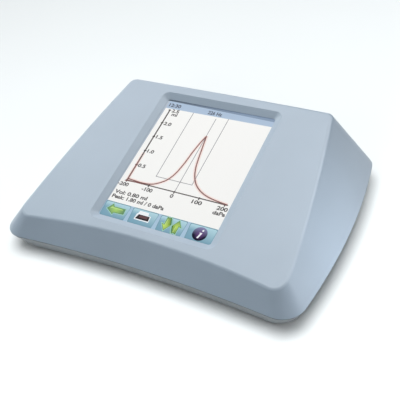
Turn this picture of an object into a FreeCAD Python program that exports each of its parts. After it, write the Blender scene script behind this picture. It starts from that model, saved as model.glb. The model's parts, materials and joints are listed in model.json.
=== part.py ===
import FreeCAD, Part
import math
import os
import Sketcher

# Desktop screening audiometer: a low wedge with a portrait touch screen let into
# its sloping top, a two-part shell, a connector bay in the back and the air pump
# of the ear-pressure test inside.
# Frame: origin under the middle of the outline on the table, +Z up, +X to the
# user's right, -Y towards the user, connectors on the +Y side. Millimetres.

V = FreeCAD.Vector
X, Y, Z = V(1, 0, 0), V(0, 1, 0), V(0, 0, 1)

os.makedirs("parts", exist_ok=True)
doc = FreeCAD.newDocument("audiometer")

# ---------------------------------------------------------------- dimensions
SIZES = [
    # the sloping top plate, measured along the slope from the front crease line
    ("tilt", 15.0), ("crease_z", 31.4), ("mid_y", 78.1),
    ("plate_front_half", 105.8), ("plate_mid_half", 97.4), ("plate_back_half", 84.75),
    ("plate_depth", 142.6), ("plate_back_bow", 0.4),
    ("crease_dip", 6.4), ("crease_end_x", 86.7), ("crease_end_y", 0.2),
    ("plate_front_round", 9.0), ("plate_back_round", 6.0), ("plate_edge_round", 3.2),
    # the widest line of the housing, where the two covers meet
    ("part_z", 17.7), ("part_gap", 0.4),
    ("base_front_half", 116.5), ("base_front_y", -10.6), ("base_mid_half", 120.0),
    ("base_mid_y", 62.8), ("base_back_half", 107.4), ("base_back_y", 161.0),
    ("base_back_bow", 7.0), ("base_dip_y", -7.0), ("base_end_x", 95.5),
    ("base_end_y", -11.2), ("base_front_round", 16.0), ("base_back_round", 15.0),
    # the pan below it, tucked in all round
    ("pan_tuck", 7.8), ("pan_z", 1.7), ("wall", 2.6), ("plate_wall", 2.8),
    # screen
    ("screen_w", 91.0), ("screen_h", 112.2), ("screen_p", 73.6), ("bevel", 5.0),
    ("bevel_round", 6.5), ("screen_round", 2.0),
    ("gasket_t", 0.4), ("touch_w", 101.0), ("touch_h", 122.0), ("touch_t", 1.4),
    ("lcd_w", 99.0), ("lcd_h", 120.0), ("lcd_t", 3.0), ("backlight_t", 3.0),
    ("bracket_t", 1.0), ("bracket_ear_x", 56.5), ("bracket_ear_y", 45.0),
    # connector bay
    ("bay_half", 80.0), ("bay_lo", 20.5), ("bay_hi", 46.0), ("bay_y", 144.0),
    ("bay_wall", 2.5), ("lip_half", 76.0), ("lip_lo", 24.0), ("lip_hi", 42.5),
    ("panel_t", 2.5), ("axis_z", 33.2),
    # boards
    ("board_w", 100.0), ("board_d", 105.0), ("board_t", 1.6), ("board_z", 12.0),
    ("board_y", 57.5), ("conn_w", 140.0), ("conn_d", 29.0), ("conn_z", 24.6),
    # screws and feet
    ("foot_dia", 14.0), ("foot_t", 3.0), ("screw_shank", 3.0), ("screw_head", 5.5),
    # air pump
    ("pump_x", 78.0), ("pump_z", 24.0), ("motor_dia", 25.0), ("motor_len", 22.0),
    ("cyl_dia", 18.0), ("cyl_bore", 12.0), ("cyl_len", 40.0), ("rod_dia", 5.0),
    ("piston_gap", 0.05),
    # power button
    ("button_dia", 10.0), ("button_hole", 10.6), ("button_x", -66.0),
    # battery and loudspeaker
    ("pack_w", 37.5), ("pack_l", 70.0), ("pack_h", 19.0), ("speaker_dia", 28.0),
]
sheet = doc.addObject("Spreadsheet::Sheet", "Sizes")
sheet.set("A1", "name")
sheet.set("B1", "value")
for row, (alias, value) in enumerate(SIZES, start=2):
    sheet.set("A%d" % row, alias)
    sheet.set("B%d" % row, "%g" % value)
    sheet.setAlias("B%d" % row, alias)
doc.recompute()


class Dim:
    """A number together with the expression that gives it from the sheet."""

    def __init__(self, value, text):
        self.value, self.text = float(value), text

    def _join(self, other, sign, swap=False):
        ov = float(other)
        ot = other.text if isinstance(other, Dim) else "(%.6g)" % ov
        a, b = (ov, self.value) if swap else (self.value, ov)
        ta, tb = (ot, self.text) if swap else (self.text, ot)
        value = {"+": a + b, "-": a - b, "*": a * b, "/": a / b if b else 0.0}[sign]
        return Dim(value, "(%s %s %s)" % (ta, sign, tb))

    def __add__(self, o): return self._join(o, "+")
    def __radd__(self, o): return self._join(o, "+", True)
    def __sub__(self, o): return self._join(o, "-")
    def __rsub__(self, o): return self._join(o, "-", True)
    def __mul__(self, o): return self._join(o, "*")
    def __rmul__(self, o): return self._join(o, "*", True)
    def __truediv__(self, o): return self._join(o, "/")
    def __neg__(self): return self._join(-1.0, "*")
    def __float__(self): return self.value


class Sheet:
    def __getattr__(self, alias):
        return Dim(sheet.get(alias), "Sizes.%s" % alias)


D = Sheet()


def bind(obj, path, value):
    if isinstance(value, Dim):
        obj.setExpression(path, value.text)


def wy(y):
    """A distance from the front crease line, as a Y of the part's frame."""
    return y - D.mid_y


NODES = {}


def keep(obj, label):
    obj.Label = label
    NODES[label] = obj
    return obj


def place(obj, pos, rotation=None):
    p = V(*[float(c) for c in pos])
    obj.Placement = FreeCAD.Placement(p, rotation or FreeCAD.Rotation())
    for c, axis in zip(pos, "xyz"):
        bind(obj, "Placement.Base." + axis, c)


# ---------------------------------------------------------------- PartDesign helpers
COUNT = [0]


def uid(stem):
    COUNT[0] += 1
    return "%s%03d" % (stem, COUNT[0])


def new_body(label):
    body = doc.addObject("PartDesign::Body", uid("Body"))
    body.AllowCompound = True
    return keep(body, label)


def new_sketch(body, plane="XY_Plane", offset=0.0):
    sk = body.newObject("Sketcher::SketchObject", uid("Sketch"))
    base = [f for f in body.Origin.OriginFeatures if f.Role == plane][0]
    sk.AttachmentSupport = [(base, "")]
    sk.MapMode = "FlatFace"
    sk.AttachmentOffset = FreeCAD.Placement(V(0, 0, float(offset)), FreeCAD.Rotation())
    bind(sk, "AttachmentOffset.Base.z", offset)
    return sk


def pin_point(sk, geo, end, x, y):
    """Dimension one sketch point from the sketch's origin."""
    for c, name, axis in ((x, "DistanceX", -2), (y, "DistanceY", -1)):
        if abs(float(c)) < 1e-9:
            sk.addConstraint(Sketcher.Constraint("PointOnObject", geo, end, axis))
        else:
            i = sk.addConstraint(Sketcher.Constraint(name, -1, 1, geo, end, float(c)))
            bind(sk, "Constraints[%d]" % i, c)


def outline(sk, pts):
    """A closed outline of straight lines through dimensioned points."""
    n = len(pts)
    g0 = sk.GeometryCount
    for i in range(n):
        a, b = pts[i], pts[(i + 1) % n]
        sk.addGeometry(Part.LineSegment(V(float(a[0]), float(a[1]), 0),
                                        V(float(b[0]), float(b[1]), 0)), False)
    for i in range(n):
        sk.addConstraint(Sketcher.Constraint("Coincident", g0 + i, 2, g0 + (i + 1) % n, 1))
    for i, p in enumerate(pts):
        pin_point(sk, g0 + i, 1, p[0], p[1])


def box_outline(sk, w, h, cx=0.0, cy=0.0):
    outline(sk, [(cx - w / 2, cy - h / 2), (cx + w / 2, cy - h / 2),
                 (cx + w / 2, cy + h / 2), (cx - w / 2, cy + h / 2)])


def circle(sk, dia, cx=0.0, cy=0.0):
    g = sk.addGeometry(Part.Circle(V(float(cx), float(cy), 0), Z, float(dia) / 2), False)
    i = sk.addConstraint(Sketcher.Constraint("Diameter", g, float(dia)))
    bind(sk, "Constraints[%d]" % i, dia)
    if abs(float(cx)) < 1e-9 and abs(float(cy)) < 1e-9:
        sk.addConstraint(Sketcher.Constraint("Coincident", g, 3, -1, 1))
    else:
        pin_point(sk, g, 3, cx, cy)


def pad(body, sk, length, down=False):
    f = body.newObject("PartDesign::Pad", uid("Pad"))
    f.Profile = sk
    f.Length = float(length)
    bind(f, "Length", length)
    f.Reversed = down
    doc.recompute()
    return f


def pocket(body, sk, length=None, up=False):
    before = body.Shape.Volume
    f = body.newObject("PartDesign::Pocket", uid("Pocket"))
    f.Profile = sk
    if length is None:
        f.Type = 1
        f.Midplane = True
    else:
        f.Length = float(length)
        bind(f, "Length", length)
        f.Reversed = up
    doc.recompute()
    if body.Shape.Volume > before - 1e-4:
        raise RuntimeError("pocket in %s cut nothing" % body.Label)
    return f


def revolve(body, sk):
    f = body.newObject("PartDesign::Revolution", uid("Revolution"))
    f.Profile = sk
    f.ReferenceAxis = (sk, ["V_Axis"])
    f.Angle = 360.0
    doc.recompute()
    return f


def round_upright(body, radius, pick=None):
    """Fillet the body's upright edges."""
    base = body.Tip
    names = []
    for i, e in enumerate(base.Shape.Edges, start=1):
        if len(e.Vertexes) == 2 and isinstance(e.Curve, Part.Line):
            d = e.Vertexes[1].Point - e.Vertexes[0].Point
            if abs(d.x) < 1e-6 and abs(d.y) < 1e-6 and (pick is None or pick(e)):
                names.append("Edge%d" % i)
    f = body.newObject("PartDesign::Fillet", uid("Fillet"))
    f.Base = (base, names)
    f.Radius = float(radius)
    bind(f, "Radius", radius)
    doc.recompute()
    return f


def block(label, w, d, h, pos, round_r=None, rotation=None):
    """A plain moulded or cut block: outline on the ground plane, padded up."""
    b = new_body(label)
    sk = new_sketch(b)
    box_outline(sk, w, d)
    pad(b, sk, h)
    if round_r is not None:
        round_upright(b, round_r)
    place(b, pos, rotation)
    return b


def turned(label, profile, pos, rotation=None):
    """A turned piece: half section in XZ, turned about Z."""
    b = new_body(label)
    sk = new_sketch(b, "XZ_Plane")
    outline(sk, profile)
    revolve(b, sk)
    place(b, pos, rotation)
    return b


TO_BACK = FreeCAD.Rotation(X, -90)      # a piece's own +Z points to +Y
TO_FRONT = FreeCAD.Rotation(X, 90)      # a piece's own +Z points to -Y


def group(label, master, spots, rotation=None):
    """The same fastener at several places, as separate solids of one piece."""
    links = []
    for s in spots:
        lk = doc.addObject("App::Link", uid("Place"))
        lk.LinkedObject = master
        lk.LinkTransform = False
        lk.Placement = FreeCAD.Placement(V(*[float(c) for c in s]),
                                         rotation or FreeCAD.Rotation())
        links.append(lk)
    comp = doc.addObject("Part::Compound", uid("Group"))
    comp.Links = links
    doc.recompute()
    return keep(comp, label)


def master(profile, hexagon=None, hex_at=0.0, hex_depth=1.5):
    """A fastener made once, about its own axis; it's shown only by its group."""
    b = doc.addObject("PartDesign::Body", uid("Master"))
    b.Label = uid("master")
    sk = new_sketch(b, "XZ_Plane")
    outline(sk, profile)
    revolve(b, sk)
    if hexagon:
        s2 = new_sketch(b, "XY_Plane", hex_at)
        pts = [(hexagon / 2 * math.cos(math.radians(60 * i + 7)),
                hexagon / 2 * math.sin(math.radians(60 * i + 7))) for i in range(6)]
        outline(s2, pts)
        pocket(b, s2, hex_depth)
    return b


def feature(label, shape, placement=None):
    f = doc.addObject("Part::Feature", uid("Shape"))
    f.Shape = shape
    f.Placement = placement or FreeCAD.Placement()
    return keep(f, label)


# ---------------------------------------------------------------- housing outlines
def circle_of(a, b, c):
    """Centre and radius of the circle through three points."""
    (ax, ay), (bx, by), (cx, cy) = a, b, c
    d = 2 * (ax * (by - cy) + bx * (cy - ay) + cx * (ay - by))
    qa, qb, qc = ax * ax + ay * ay, bx * bx + by * by, cx * cx + cy * cy
    m = V((qa * (by - cy) + qb * (cy - ay) + qc * (ay - by)) / d,
          (qa * (cx - bx) + qb * (ax - cx) + qc * (bx - ax)) / d, 0)
    return m, (m - V(ax, ay, 0)).Length


def meet(c0, r0, c1, r1, near):
    d = (c1 - c0).Length
    a = (r0 * r0 - r1 * r1 + d * d) / (2 * d)
    q = math.sqrt(max(r0 * r0 - a * a, 0.0))
    u = (c1 - c0).normalize()
    m = c0 + u * a
    w = V(-u.y, u.x, 0) * q
    return min((m + w, m - w), key=lambda p: (p - near).Length)


def plan(front, side, back, front_round, back_round, inset=0.0):
    """The housing in plan: a front that bows in, bowed sides and back, four
    tangent corner arcs. Returns one closed wire of eight arcs at Z 0."""
    fc, fr = circle_of(*front)
    sc, sr = circle_of(*side)
    bc, br = circle_of(*back)
    fr, sr, br = fr + inset, sr - inset, br - inset
    r1, r2 = max(front_round - inset, 0.8), max(back_round - inset, 0.8)
    k1 = meet(fc, fr + r1, sc, sr - r1, V(side[0][0], side[0][1], 0))
    k2 = meet(bc, br - r2, sc, sr - r2, V(side[2][0], side[2][1], 0))

    def away(c, p, r):
        return c + (p - c).normalize() * r
    a1 = away(fc, k1, fr)
    b1 = away(sc, k1, sr)
    b2 = away(sc, k2, sr)
    a2 = away(bc, k2, br)
    m1 = k1 + ((a1 + b1) * 0.5 - k1).normalize() * r1
    m2 = k2 + ((a2 + b2) * 0.5 - k2).normalize() * r2
    s_mid = away(sc, (b1 + b2) * 0.5, sr)
    f_mid = V(0, fc.y + fr, 0)
    b_mid = V(0, bc.y + br, 0)

    def mir(p):
        return V(-p.x, p.y, p.z)
    arcs = [(mir(a1), f_mid, a1), (a1, m1, b1), (b1, s_mid, b2), (b2, m2, a2),
            (a2, b_mid, mir(a2)), (mir(a2), mir(m2), mir(b2)),
            (mir(b2), mir(s_mid), mir(b1)), (mir(b1), mir(m1), mir(a1))]
    return Part.Wire([Part.Arc(p, q, r).toShape() for p, q, r in arcs])


F = {alias: float(sheet.get(alias)) for alias, _ in SIZES}
PLATE = FreeCAD.Placement(V(0, -F["mid_y"], F["crease_z"]), FreeCAD.Rotation(X, F["tilt"]))
UP = PLATE.Rotation.multVec(Z)


def top_wire(inset=0.0, drop=0.0):
    w = plan([(-F["crease_end_x"], F["crease_end_y"]), (0, F["crease_dip"]),
              (F["crease_end_x"], F["crease_end_y"])],
             [(F["plate_front_half"], 0), (F["plate_mid_half"], F["plate_depth"] / 2),
              (F["plate_back_half"], F["plate_depth"])],
             [(F["plate_back_half"], F["plate_depth"]),
              (0, F["plate_depth"] + F["plate_back_bow"]),
              (-F["plate_back_half"], F["plate_depth"])],
             F["plate_front_round"], F["plate_back_round"], inset)
    w.translate(V(0, 0, -drop))
    w.Placement = PLATE.multiply(w.Placement)
    return w


def base_wire(z, inset=0.0, tuck=0.0):
    t = tuck
    w = plan([(-F["base_end_x"], F["base_end_y"] + t), (0, F["base_dip_y"] + t),
              (F["base_end_x"], F["base_end_y"] + t)],
             [(F["base_front_half"] - t, F["base_front_y"]),
              (F["base_mid_half"] - t, F["base_mid_y"]),
              (F["base_back_half"] - t, F["base_back_y"])],
             [(F["base_back_half"], F["base_back_y"] - t),
              (0, F["base_back_y"] + F["base_back_bow"] - t),
              (-F["base_back_half"], F["base_back_y"] - t)],
             F["base_front_round"], F["base_back_round"], inset)
    w.translate(V(0, -F["mid_y"], z))
    return w


def loft(a, b):
    s = Part.makeLoft([a, b], True, True)
    if s.ShapeType == "Compound" or not s.Solids:
        s = s.Solids[0]
    if s.Volume < 0:
        s.reverse()
    return s


def box(x0, y0, z0, x1, y1, z1):
    """A box given in distances from the crease line along Y."""
    return Part.makeBox(x1 - x0, y1 - y0, z1 - z0, V(x0, y0 - F["mid_y"], z0))


def cyl(r, h, x, y, z, axis=Z):
    return Part.makeCylinder(r, h, V(x, y - F["mid_y"], z), axis)


def solid_of(s):
    s = s.removeSplitter()
    if len(s.Solids) != 1:
        s = max(s.Solids, key=lambda q: q.Volume)
    return s.Solids[0]


# ---------------------------------------------------------------- top cover
z_top = F["part_z"] + F["part_gap"] / 2
z_pan = F["part_z"] - F["part_gap"] / 2
outer = loft(base_wire(z_top), top_wire())
rim = []
for e in outer.Edges:
    if all(abs((v.Point - PLATE.Base).dot(UP)) < 1e-4 for v in e.Vertexes):
        rim.append(e)
outer = outer.makeFillet(F["plate_edge_round"], rim)
inner = loft(base_wire(z_top - 0.5, F["wall"]), top_wire(F["wall"], F["plate_wall"]))

CASE_SCREWS = [(92.0, 8.0), (104.0, 90.0), (90.0, 141.0),
               (-92.0, 8.0), (-104.0, 90.0), (-90.0, 141.0)]
EARS = [(sx * F["bracket_ear_x"], sy * F["bracket_ear_y"]) for sx in (-1, 1) for sy in (-1, 1)]
stack = (F["plate_wall"] + F["gasket_t"] + F["touch_t"] + F["lcd_t"] + F["backlight_t"])


def plate_point(x, p, n):
    """x across, p up the slope from the crease line, n out of the plate."""
    return PLATE.multVec(V(x, p, n))


# the hollow inside, with everything that stands in it left out of the cut
post_z = 12.4
hollow = inner
for x, y in CASE_SCREWS:
    hollow = hollow.cut(cyl(4.0, 70, x, y, z_top - 1.0))
# bosses for the display bracket, square to the plate
for x, q in EARS:
    base = plate_point(x, F["screen_p"] + q, -stack)
    hollow = hollow.cut(Part.makeCylinder(3.5, stack + 1.0, base, UP))
# the connector bay: a pocket with a flange round its inner end
hollow = hollow.cut(box(-F["bay_half"] - F["bay_wall"], F["bay_y"] - F["bay_wall"],
                        F["bay_lo"] - F["bay_wall"] + 0.1, F["bay_half"] + F["bay_wall"], 175,
                        F["bay_hi"] + F["bay_wall"]))
shell = outer.cut(hollow)
# posts for the case screws reach down to the pan's own tubes
for x, y in CASE_SCREWS:
    shell = shell.fuse(cyl(4.0, 9.0, x, y, post_z))
shell = shell.cut(box(-F["bay_half"], F["bay_y"], F["bay_lo"], F["bay_half"], 180, F["bay_hi"]))
shell = shell.cut(box(-F["lip_half"], F["bay_y"] - 4, F["lip_lo"], F["lip_half"], F["bay_y"] + 1, F["lip_hi"]))
# the window, bevelled down to the touch panel


def window_wire(grow, round_r, n):
    w, d = F["screen_w"] / 2 + grow, F["screen_h"] / 2 + grow
    r = round_r
    k = r * (1 - math.sqrt(0.5))
    e = []
    cs = [(w, -d), (w, d), (-w, d), (-w, -d)]
    pts = [((w - r, -d), (w - k, -d + k), (w, -d + r)), ((w, d - r), (w - k, d - k), (w - r, d)),
           ((-w + r, d), (-w + k, d - k), (-w, d - r)), ((-w, -d + r), (-w + k, -d + k), (-w + r, -d))]
    for i in range(4):
        a, b, c = pts[i]
        e.append(Part.Arc(V(a[0], a[1], 0), V(b[0], b[1], 0), V(c[0], c[1], 0)).toShape())
        nx = pts[(i + 1) % 4][0]
        e.append(Part.LineSegment(V(c[0], c[1], 0), V(nx[0], nx[1], 0)).toShape())
    wire = Part.Wire(e)
    wire.Placement = PLATE.multiply(FreeCAD.Placement(V(0, F["screen_p"], n), FreeCAD.Rotation()))
    return wire


slope = F["bevel"] / F["plate_wall"]
cutter = Part.makeLoft([window_wire(-slope * 0.2, F["screen_round"] - 0.2, -F["plate_wall"] - 0.2),
                        window_wire(F["bevel"] + slope * 1.0, F["bevel_round"] + 1.0, 1.0)], True, True)
shell = shell.cut(cutter)
# pilot holes: brass inserts in the posts, display screws in the bosses
for x, y in CASE_SCREWS:
    shell = shell.cut(cyl(2.3, 6.0, x, y, post_z - 0.1))
for x, q in EARS:
    base = plate_point(x, F["screen_p"] + q, -stack - 0.1)
    shell = shell.cut(Part.makeCylinder(1.0, 6.1, base, UP))
PANEL_SCREWS = [(78.0, 24.0), (78.0, 42.5), (-78.0, 24.0), (-78.0, 42.5)]
for x, z in PANEL_SCREWS:
    shell = shell.cut(cyl(0.9, 3.0, x, F["bay_y"] - F["bay_wall"] - 0.2, z, Y))
# the cover is the same left and right: one half and its mirror image
half = shell.common(Part.makeBox(300, 500, 300, V(0, -250, -50)))
shell = half.fuse(half.mirror(V(0, 0, 0), X))
top_cover = feature("top_cover", solid_of(shell))

# ---------------------------------------------------------------- bottom cover
pan_out = loft(base_wire(F["pan_z"], 0.0, F["pan_tuck"]), base_wire(z_pan))
low = [e for e in pan_out.Edges if all(abs(v.Z - F["pan_z"]) < 1e-4 for v in e.Vertexes)]
pan_out = pan_out.makeFillet(2.0, low)
floor_z = F["pan_z"] + F["wall"]
pan_in = loft(base_wire(floor_z, F["wall"], F["pan_tuck"] * (z_pan - floor_z) / (z_pan - F["pan_z"])),
              base_wire(z_pan + 0.01, F["wall"]))
pan = pan_out.cut(pan_in)
# tongue that stands up inside the top cover
ring = loft(base_wire(14.5, 2.0, 1.2), base_wire(z_pan, 2.0)).common(pan_out)
ring = ring.cut(loft(base_wire(14.0, 6.0), base_wire(18.0, 6.0)))
tongue = loft(base_wire(17.0, 4.7), base_wire(18.8, 4.7)).cut(loft(base_wire(16.0, 6.0), base_wire(21.0, 6.0)))
gap = box(-85, 130, 14.0, 85, 180, 25.0)
pan = pan.fuse(ring).fuse(tongue.cut(gap))
# the tongue clears the screw posts of the top cover
for x, y in CASE_SCREWS:
    pan = pan.cut(cyl(4.4, 20, x, y, 12.2))
# screw tubes, open from below for the heads
for x, y in CASE_SCREWS:
    pan = pan.fuse(cyl(4.6, 12.2 - F["pan_z"], x, y, F["pan_z"]).common(
        pan_out.fuse(box(-200, -100, 6, 200, 200, 13))))
for x, y in CASE_SCREWS:
    pan = pan.cut(cyl(1.6, 20, x, y, 0)).cut(cyl(3.1, 6.6, x, y, 0))
# stand-offs
BOARD_SCREWS = [(sx * 45.0, y) for sx in (-1, 1) for y in (10.0, 105.0)]
CONN_SCREWS = [(-80.0, 116.0), (52.0, 116.0), (-80.0, 136.0), (39.25, 136.0)]
PUMP_SCREWS = [(68.0, 92.0), (88.0, 92.0)]
CLAMP_SCREWS = [(-52.6, 68.0), (-103.4, 68.0)]
MANI_SCREWS = [(67.0, 119.0), (91.0, 119.0)]
for spots, r, z1 in ((BOARD_SCREWS, 3.2, F["board_z"]), (CONN_SCREWS, 3.0, F["conn_z"]),
                     (PUMP_SCREWS, 4.0, 7.0), (CLAMP_SCREWS, 3.0, 12.0), (MANI_SCREWS, 3.0, 12.0)):
    for x, y in spots:
        pan = pan.fuse(cyl(r, z1 - F["pan_z"] - 0.5, x, y, F["pan_z"] + 0.5))
    for x, y in spots:
        pan = pan.cut(cyl(1.0, min(8.0, z1 - 3.2), x, y, z1 - min(8.0, z1 - 3.2) + 0.1))
# ribs at the ends of the battery pack, a rim round the loudspeaker
for y in (31.6, 104.6):
    pan = pan.fuse(box(-96, y, 3.0, -60, y + 1.5, 12.0))
SPK = (-72.0, 17.0)
pan = pan.fuse(cyl(F["speaker_dia"] / 2 + 1.6, 5.0, SPK[0], SPK[1], 3.0).cut(
    cyl(F["speaker_dia"] / 2 + 0.2, 9.0, SPK[0], SPK[1], 2.0)))
for i in range(-3, 4):
    half = 10.0 - 0.55 * i * i
    s = box(SPK[0] - half, SPK[1] + 3.2 * i - 0.8, 0.5, SPK[0] + half, SPK[1] + 3.2 * i + 0.8, 5.0)
    pan = pan.cut(s)
# dimples for the feet
FEET = [(94.0, 26.0), (74.0, 140.0), (-94.0, 26.0), (-74.0, 140.0)]
for x, y in FEET:
    pan = pan.cut(cyl(F["foot_dia"] / 2 + 0.1, 1.3, x, y, F["pan_z"]))
# a bare shallow field where a type plate would be stuck
pan = pan.cut(box(-35, 55, F["pan_z"] - 0.1, 35, 95, F["pan_z"] + 0.4))
bottom_cover = feature("bottom_cover", solid_of(pan))

# ---------------------------------------------------------------- feet and case screws
foot = master([(0, 0), (D.foot_dia / 2 - 0.8, 0), (D.foot_dia / 2, 0.8),
               (D.foot_dia / 2, D.foot_t), (0, D.foot_t)])
group("rubber_feet", foot, [(x, wy(y), 0.0) for x, y in FEET])
screw = master([(0, 0), (D.screw_head / 2, 0), (D.screw_head / 2, 3.0), (D.screw_shank / 2, 3.0),
                (D.screw_shank / 2, 12.0), (0, 12.0)])
hexpts = [(1.5 * math.cos(math.radians(60 * i)), 1.5 * math.sin(math.radians(60 * i))) for i in range(6)]
sk = new_sketch(screw, "XY_Plane", 0.0)
outline(sk, hexpts)
pocket(screw, sk, 1.8, up=True)
group("case_screws", screw, [(x, wy(y), 3.6) for x, y in CASE_SCREWS])
insert = master([(1.55, 0), (2.3, 0), (2.3, 5.0), (1.55, 5.0)])
group("thread_inserts", insert, [(x, wy(y), post_z) for x, y in CASE_SCREWS])

# ---------------------------------------------------------------- display, square to the plate
SCREEN = PLATE.multiply(FreeCAD.Placement(V(0, F["screen_p"], 0), FreeCAD.Rotation()))


def on_plate(body, depth, x=0.0, q=0.0):
    body.Placement = SCREEN.multiply(FreeCAD.Placement(V(x, q, -float(depth)), FreeCAD.Rotation()))
    return body


depth = D.plate_wall
gasket = new_body("screen_gasket")
sk = new_sketch(gasket)
box_outline(sk, D.touch_w, D.touch_h)
box_outline(sk, D.screen_w + 1.0, D.screen_h + 1.0)
pad(gasket, sk, D.gasket_t, down=True)
on_plate(gasket, depth)
depth = depth + D.gasket_t

touch = new_body("touch_panel")
sk = new_sketch(touch)
box_outline(sk, D.touch_w, D.touch_h)
pad(touch, sk, D.touch_t, down=True)
round_upright(touch, 1.5)
on_plate(touch, depth)
depth = depth + D.touch_t

lcd = new_body("lcd_module")
sk = new_sketch(lcd)
box_outline(sk, D.lcd_w, D.lcd_h)
pad(lcd, sk, D.lcd_t, down=True)
round_upright(lcd, 1.0)
on_plate(lcd, depth)
depth = depth + D.lcd_t

light = new_body("backlight")
sk = new_sketch(light)
box_outline(sk, D.lcd_w - 2.0, D.lcd_h - 2.0)
pad(light, sk, D.backlight_t, down=True)
sk = new_sketch(light, "XY_Plane", -D.backlight_t)
box_outline(sk, D.lcd_w - 12.0, D.lcd_h - 12.0)
pocket(light, sk, 0.6, up=True)
on_plate(light, depth)
depth = depth + D.backlight_t

bracket = new_body("display_bracket")
sk = new_sketch(bracket)
w2, h2, ex, ey = D.lcd_w / 2 + 0.0, D.lcd_h / 2, D.bracket_ear_x + 4.5, D.bracket_ear_y
outline(sk, [(-w2, -h2), (w2, -h2), (w2, -ey - 5.0), (ex, -ey - 5.0), (ex, -ey + 5.0), (w2, -ey + 5.0),
             (w2, ey - 5.0), (ex, ey - 5.0), (ex, ey + 5.0), (w2, ey + 5.0), (w2, h2), (-w2, h2),
             (-w2, ey + 5.0), (-ex, ey + 5.0), (-ex, ey - 5.0), (-w2, ey - 5.0), (-w2, -ey + 5.0),
             (-ex, -ey + 5.0), (-ex, -ey - 5.0), (-w2, -ey - 5.0)])
pad(bracket, sk, D.bracket_t, down=True)
sk = new_sketch(bracket)
for cx, cy in EARS:
    circle(sk, 2.6, cx, cy)
for cy in (-36.0, 0.0, 36.0):
    box_outline(sk, 60.0, 22.0, 0.0, cy)
pocket(bracket, sk, D.bracket_t)
on_plate(bracket, depth)

dscrew = master([(0, -1.4), (2.2, -1.4), (2.2, 0), (1.0, 0), (1.0, 6.0), (0, 6.0)])
links = []
for x, q in EARS:
    lk = doc.addObject("App::Link", uid("Place"))
    lk.LinkedObject = dscrew
    lk.LinkTransform = False
    lk.Placement = SCREEN.multiply(FreeCAD.Placement(V(x, q, -float(depth) - F["bracket_t"]), FreeCAD.Rotation()))
    links.append(lk)
comp = doc.addObject("Part::Compound", uid("Group"))
comp.Links = links
keep(comp, "display_screws")


def ribbon(label, x, w, thick, path):
    """A flat flexible cable: a thin strip bent in the YZ plane."""
    pts = [V(0, p[0] - F["mid_y"], p[1]) for p in path]
    edges, n = [], len(pts)
    last = pts[0]
    for i in range(1, n - 1):
        a, b = (pts[i - 1] - pts[i]), (pts[i + 1] - pts[i])
        la, lb = a.Length, b.Length
        turn = math.pi - a.getAngle(b)
        r = 0.45 * min(la, lb) / math.tan(turn / 2)
        t = r * math.tan(turn / 2)
        a.normalize()
        b.normalize()
        s, e = pts[i] + a * t, pts[i] + b * t
        mid = pts[i] + (a + b).normalize() * (math.hypot(r, t) - r)
        edges.append(Part.LineSegment(last, s).toShape())
        edges.append(Part.Arc(s, mid, e).toShape())
        last = e
    edges.append(Part.LineSegment(last, pts[-1]).toShape())
    wire = Part.Wire(edges)
    start = edges[0].Vertexes[0].Point
    d = (edges[0].Vertexes[1].Point - start).normalize()
    up = d.cross(X).normalize() * (thick / 2)
    side = X * (w / 2)
    c = V(x, start.y, start.z)
    wire.translate(V(x, 0, 0))
    prof = Part.makePolygon([c - side - up, c + side - up, c + side + up, c - side + up, c - side - up])
    strip = wire.makePipeShell([prof], True, True)
    return feature(label, strip.Solids[0] if strip.Solids else strip)


def yz(p, n):
    w = PLATE.multVec(V(0, p, n))
    return (w.y + F["mid_y"], w.z)


lcd_n = -(F["plate_wall"] + F["gasket_t"] + F["touch_t"] + 1.5)
path = [yz(13.3, lcd_n), yz(8.0, lcd_n), (5.0, 21.5), (5.6, 16.6), (12.0, 15.2)]
ribbon("lcd_ribbon", -14.0, 30.0, 0.4, path)
touch_n = -(F["plate_wall"] + F["gasket_t"] + 1.0)
path = [yz(12.3, touch_n), yz(7.5, touch_n), (2.4, 21.0), (4.2, 16.0), (11.0, 15.2)]
ribbon("touch_ribbon", 28.0, 10.0, 0.3, path)

# ---------------------------------------------------------------- main board
board = new_body("main_board")
sk = new_sketch(board)
box_outline(sk, D.board_w, D.board_d)
pad(board, sk, D.board_t)
sk = new_sketch(board, "XY_Plane", D.board_t)
for x, y in BOARD_SCREWS:
    circle(sk, 2.8, x, y - D.board_y)
pocket(board, sk, D.board_t)
round_upright(board, 2.0, pick=lambda e: isinstance(e.Curve, Part.Line))
place(board, (0.0, wy(D.board_y), D.board_z))
top_z = D.board_z + D.board_t

pan_head = master([(0, 0), (1.0, 0), (1.0, 5.0), (2.3, 5.0), (2.3, 6.0), (1.8, 6.6), (0, 6.6)],
                  hexagon=2.0, hex_at=6.6, hex_depth=1.0)
group("board_screws", pan_head, [(x, wy(y), top_z - 5.0) for x, y in BOARD_SCREWS]
      + [(x, wy(y), D.conn_z + D.board_t - 5.0) for x, y in CONN_SCREWS])

shield = new_body("processor_shield")
sk = new_sketch(shield)
box_outline(sk, 34.0, 30.0)
pad(shield, sk, 4.0)
sk = new_sketch(shield)
box_outline(sk, 33.2, 29.2)
pocket(shield, sk, 3.6, up=True)
place(shield, (-12.0, wy(62.0), top_z))
block("processor", 14.0, 14.0, 1.4, (-12.0, wy(62.0), top_z))

chips = new_body("converter_chips")
sk = new_sketch(chips)
for cx, cy, cw, ch in ((0.0, 0.0, 9.0, 9.0), (16.0, 4.0, 7.0, 10.0), (-2.0, -17.0, 12.0, 7.0),
                       (17.0, -16.0, 5.0, 6.0)):
    box_outline(sk, cw, ch, cx, cy)
pad(chips, sk, 1.2)
place(chips, (22.0, wy(92.0), top_z))

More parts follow.
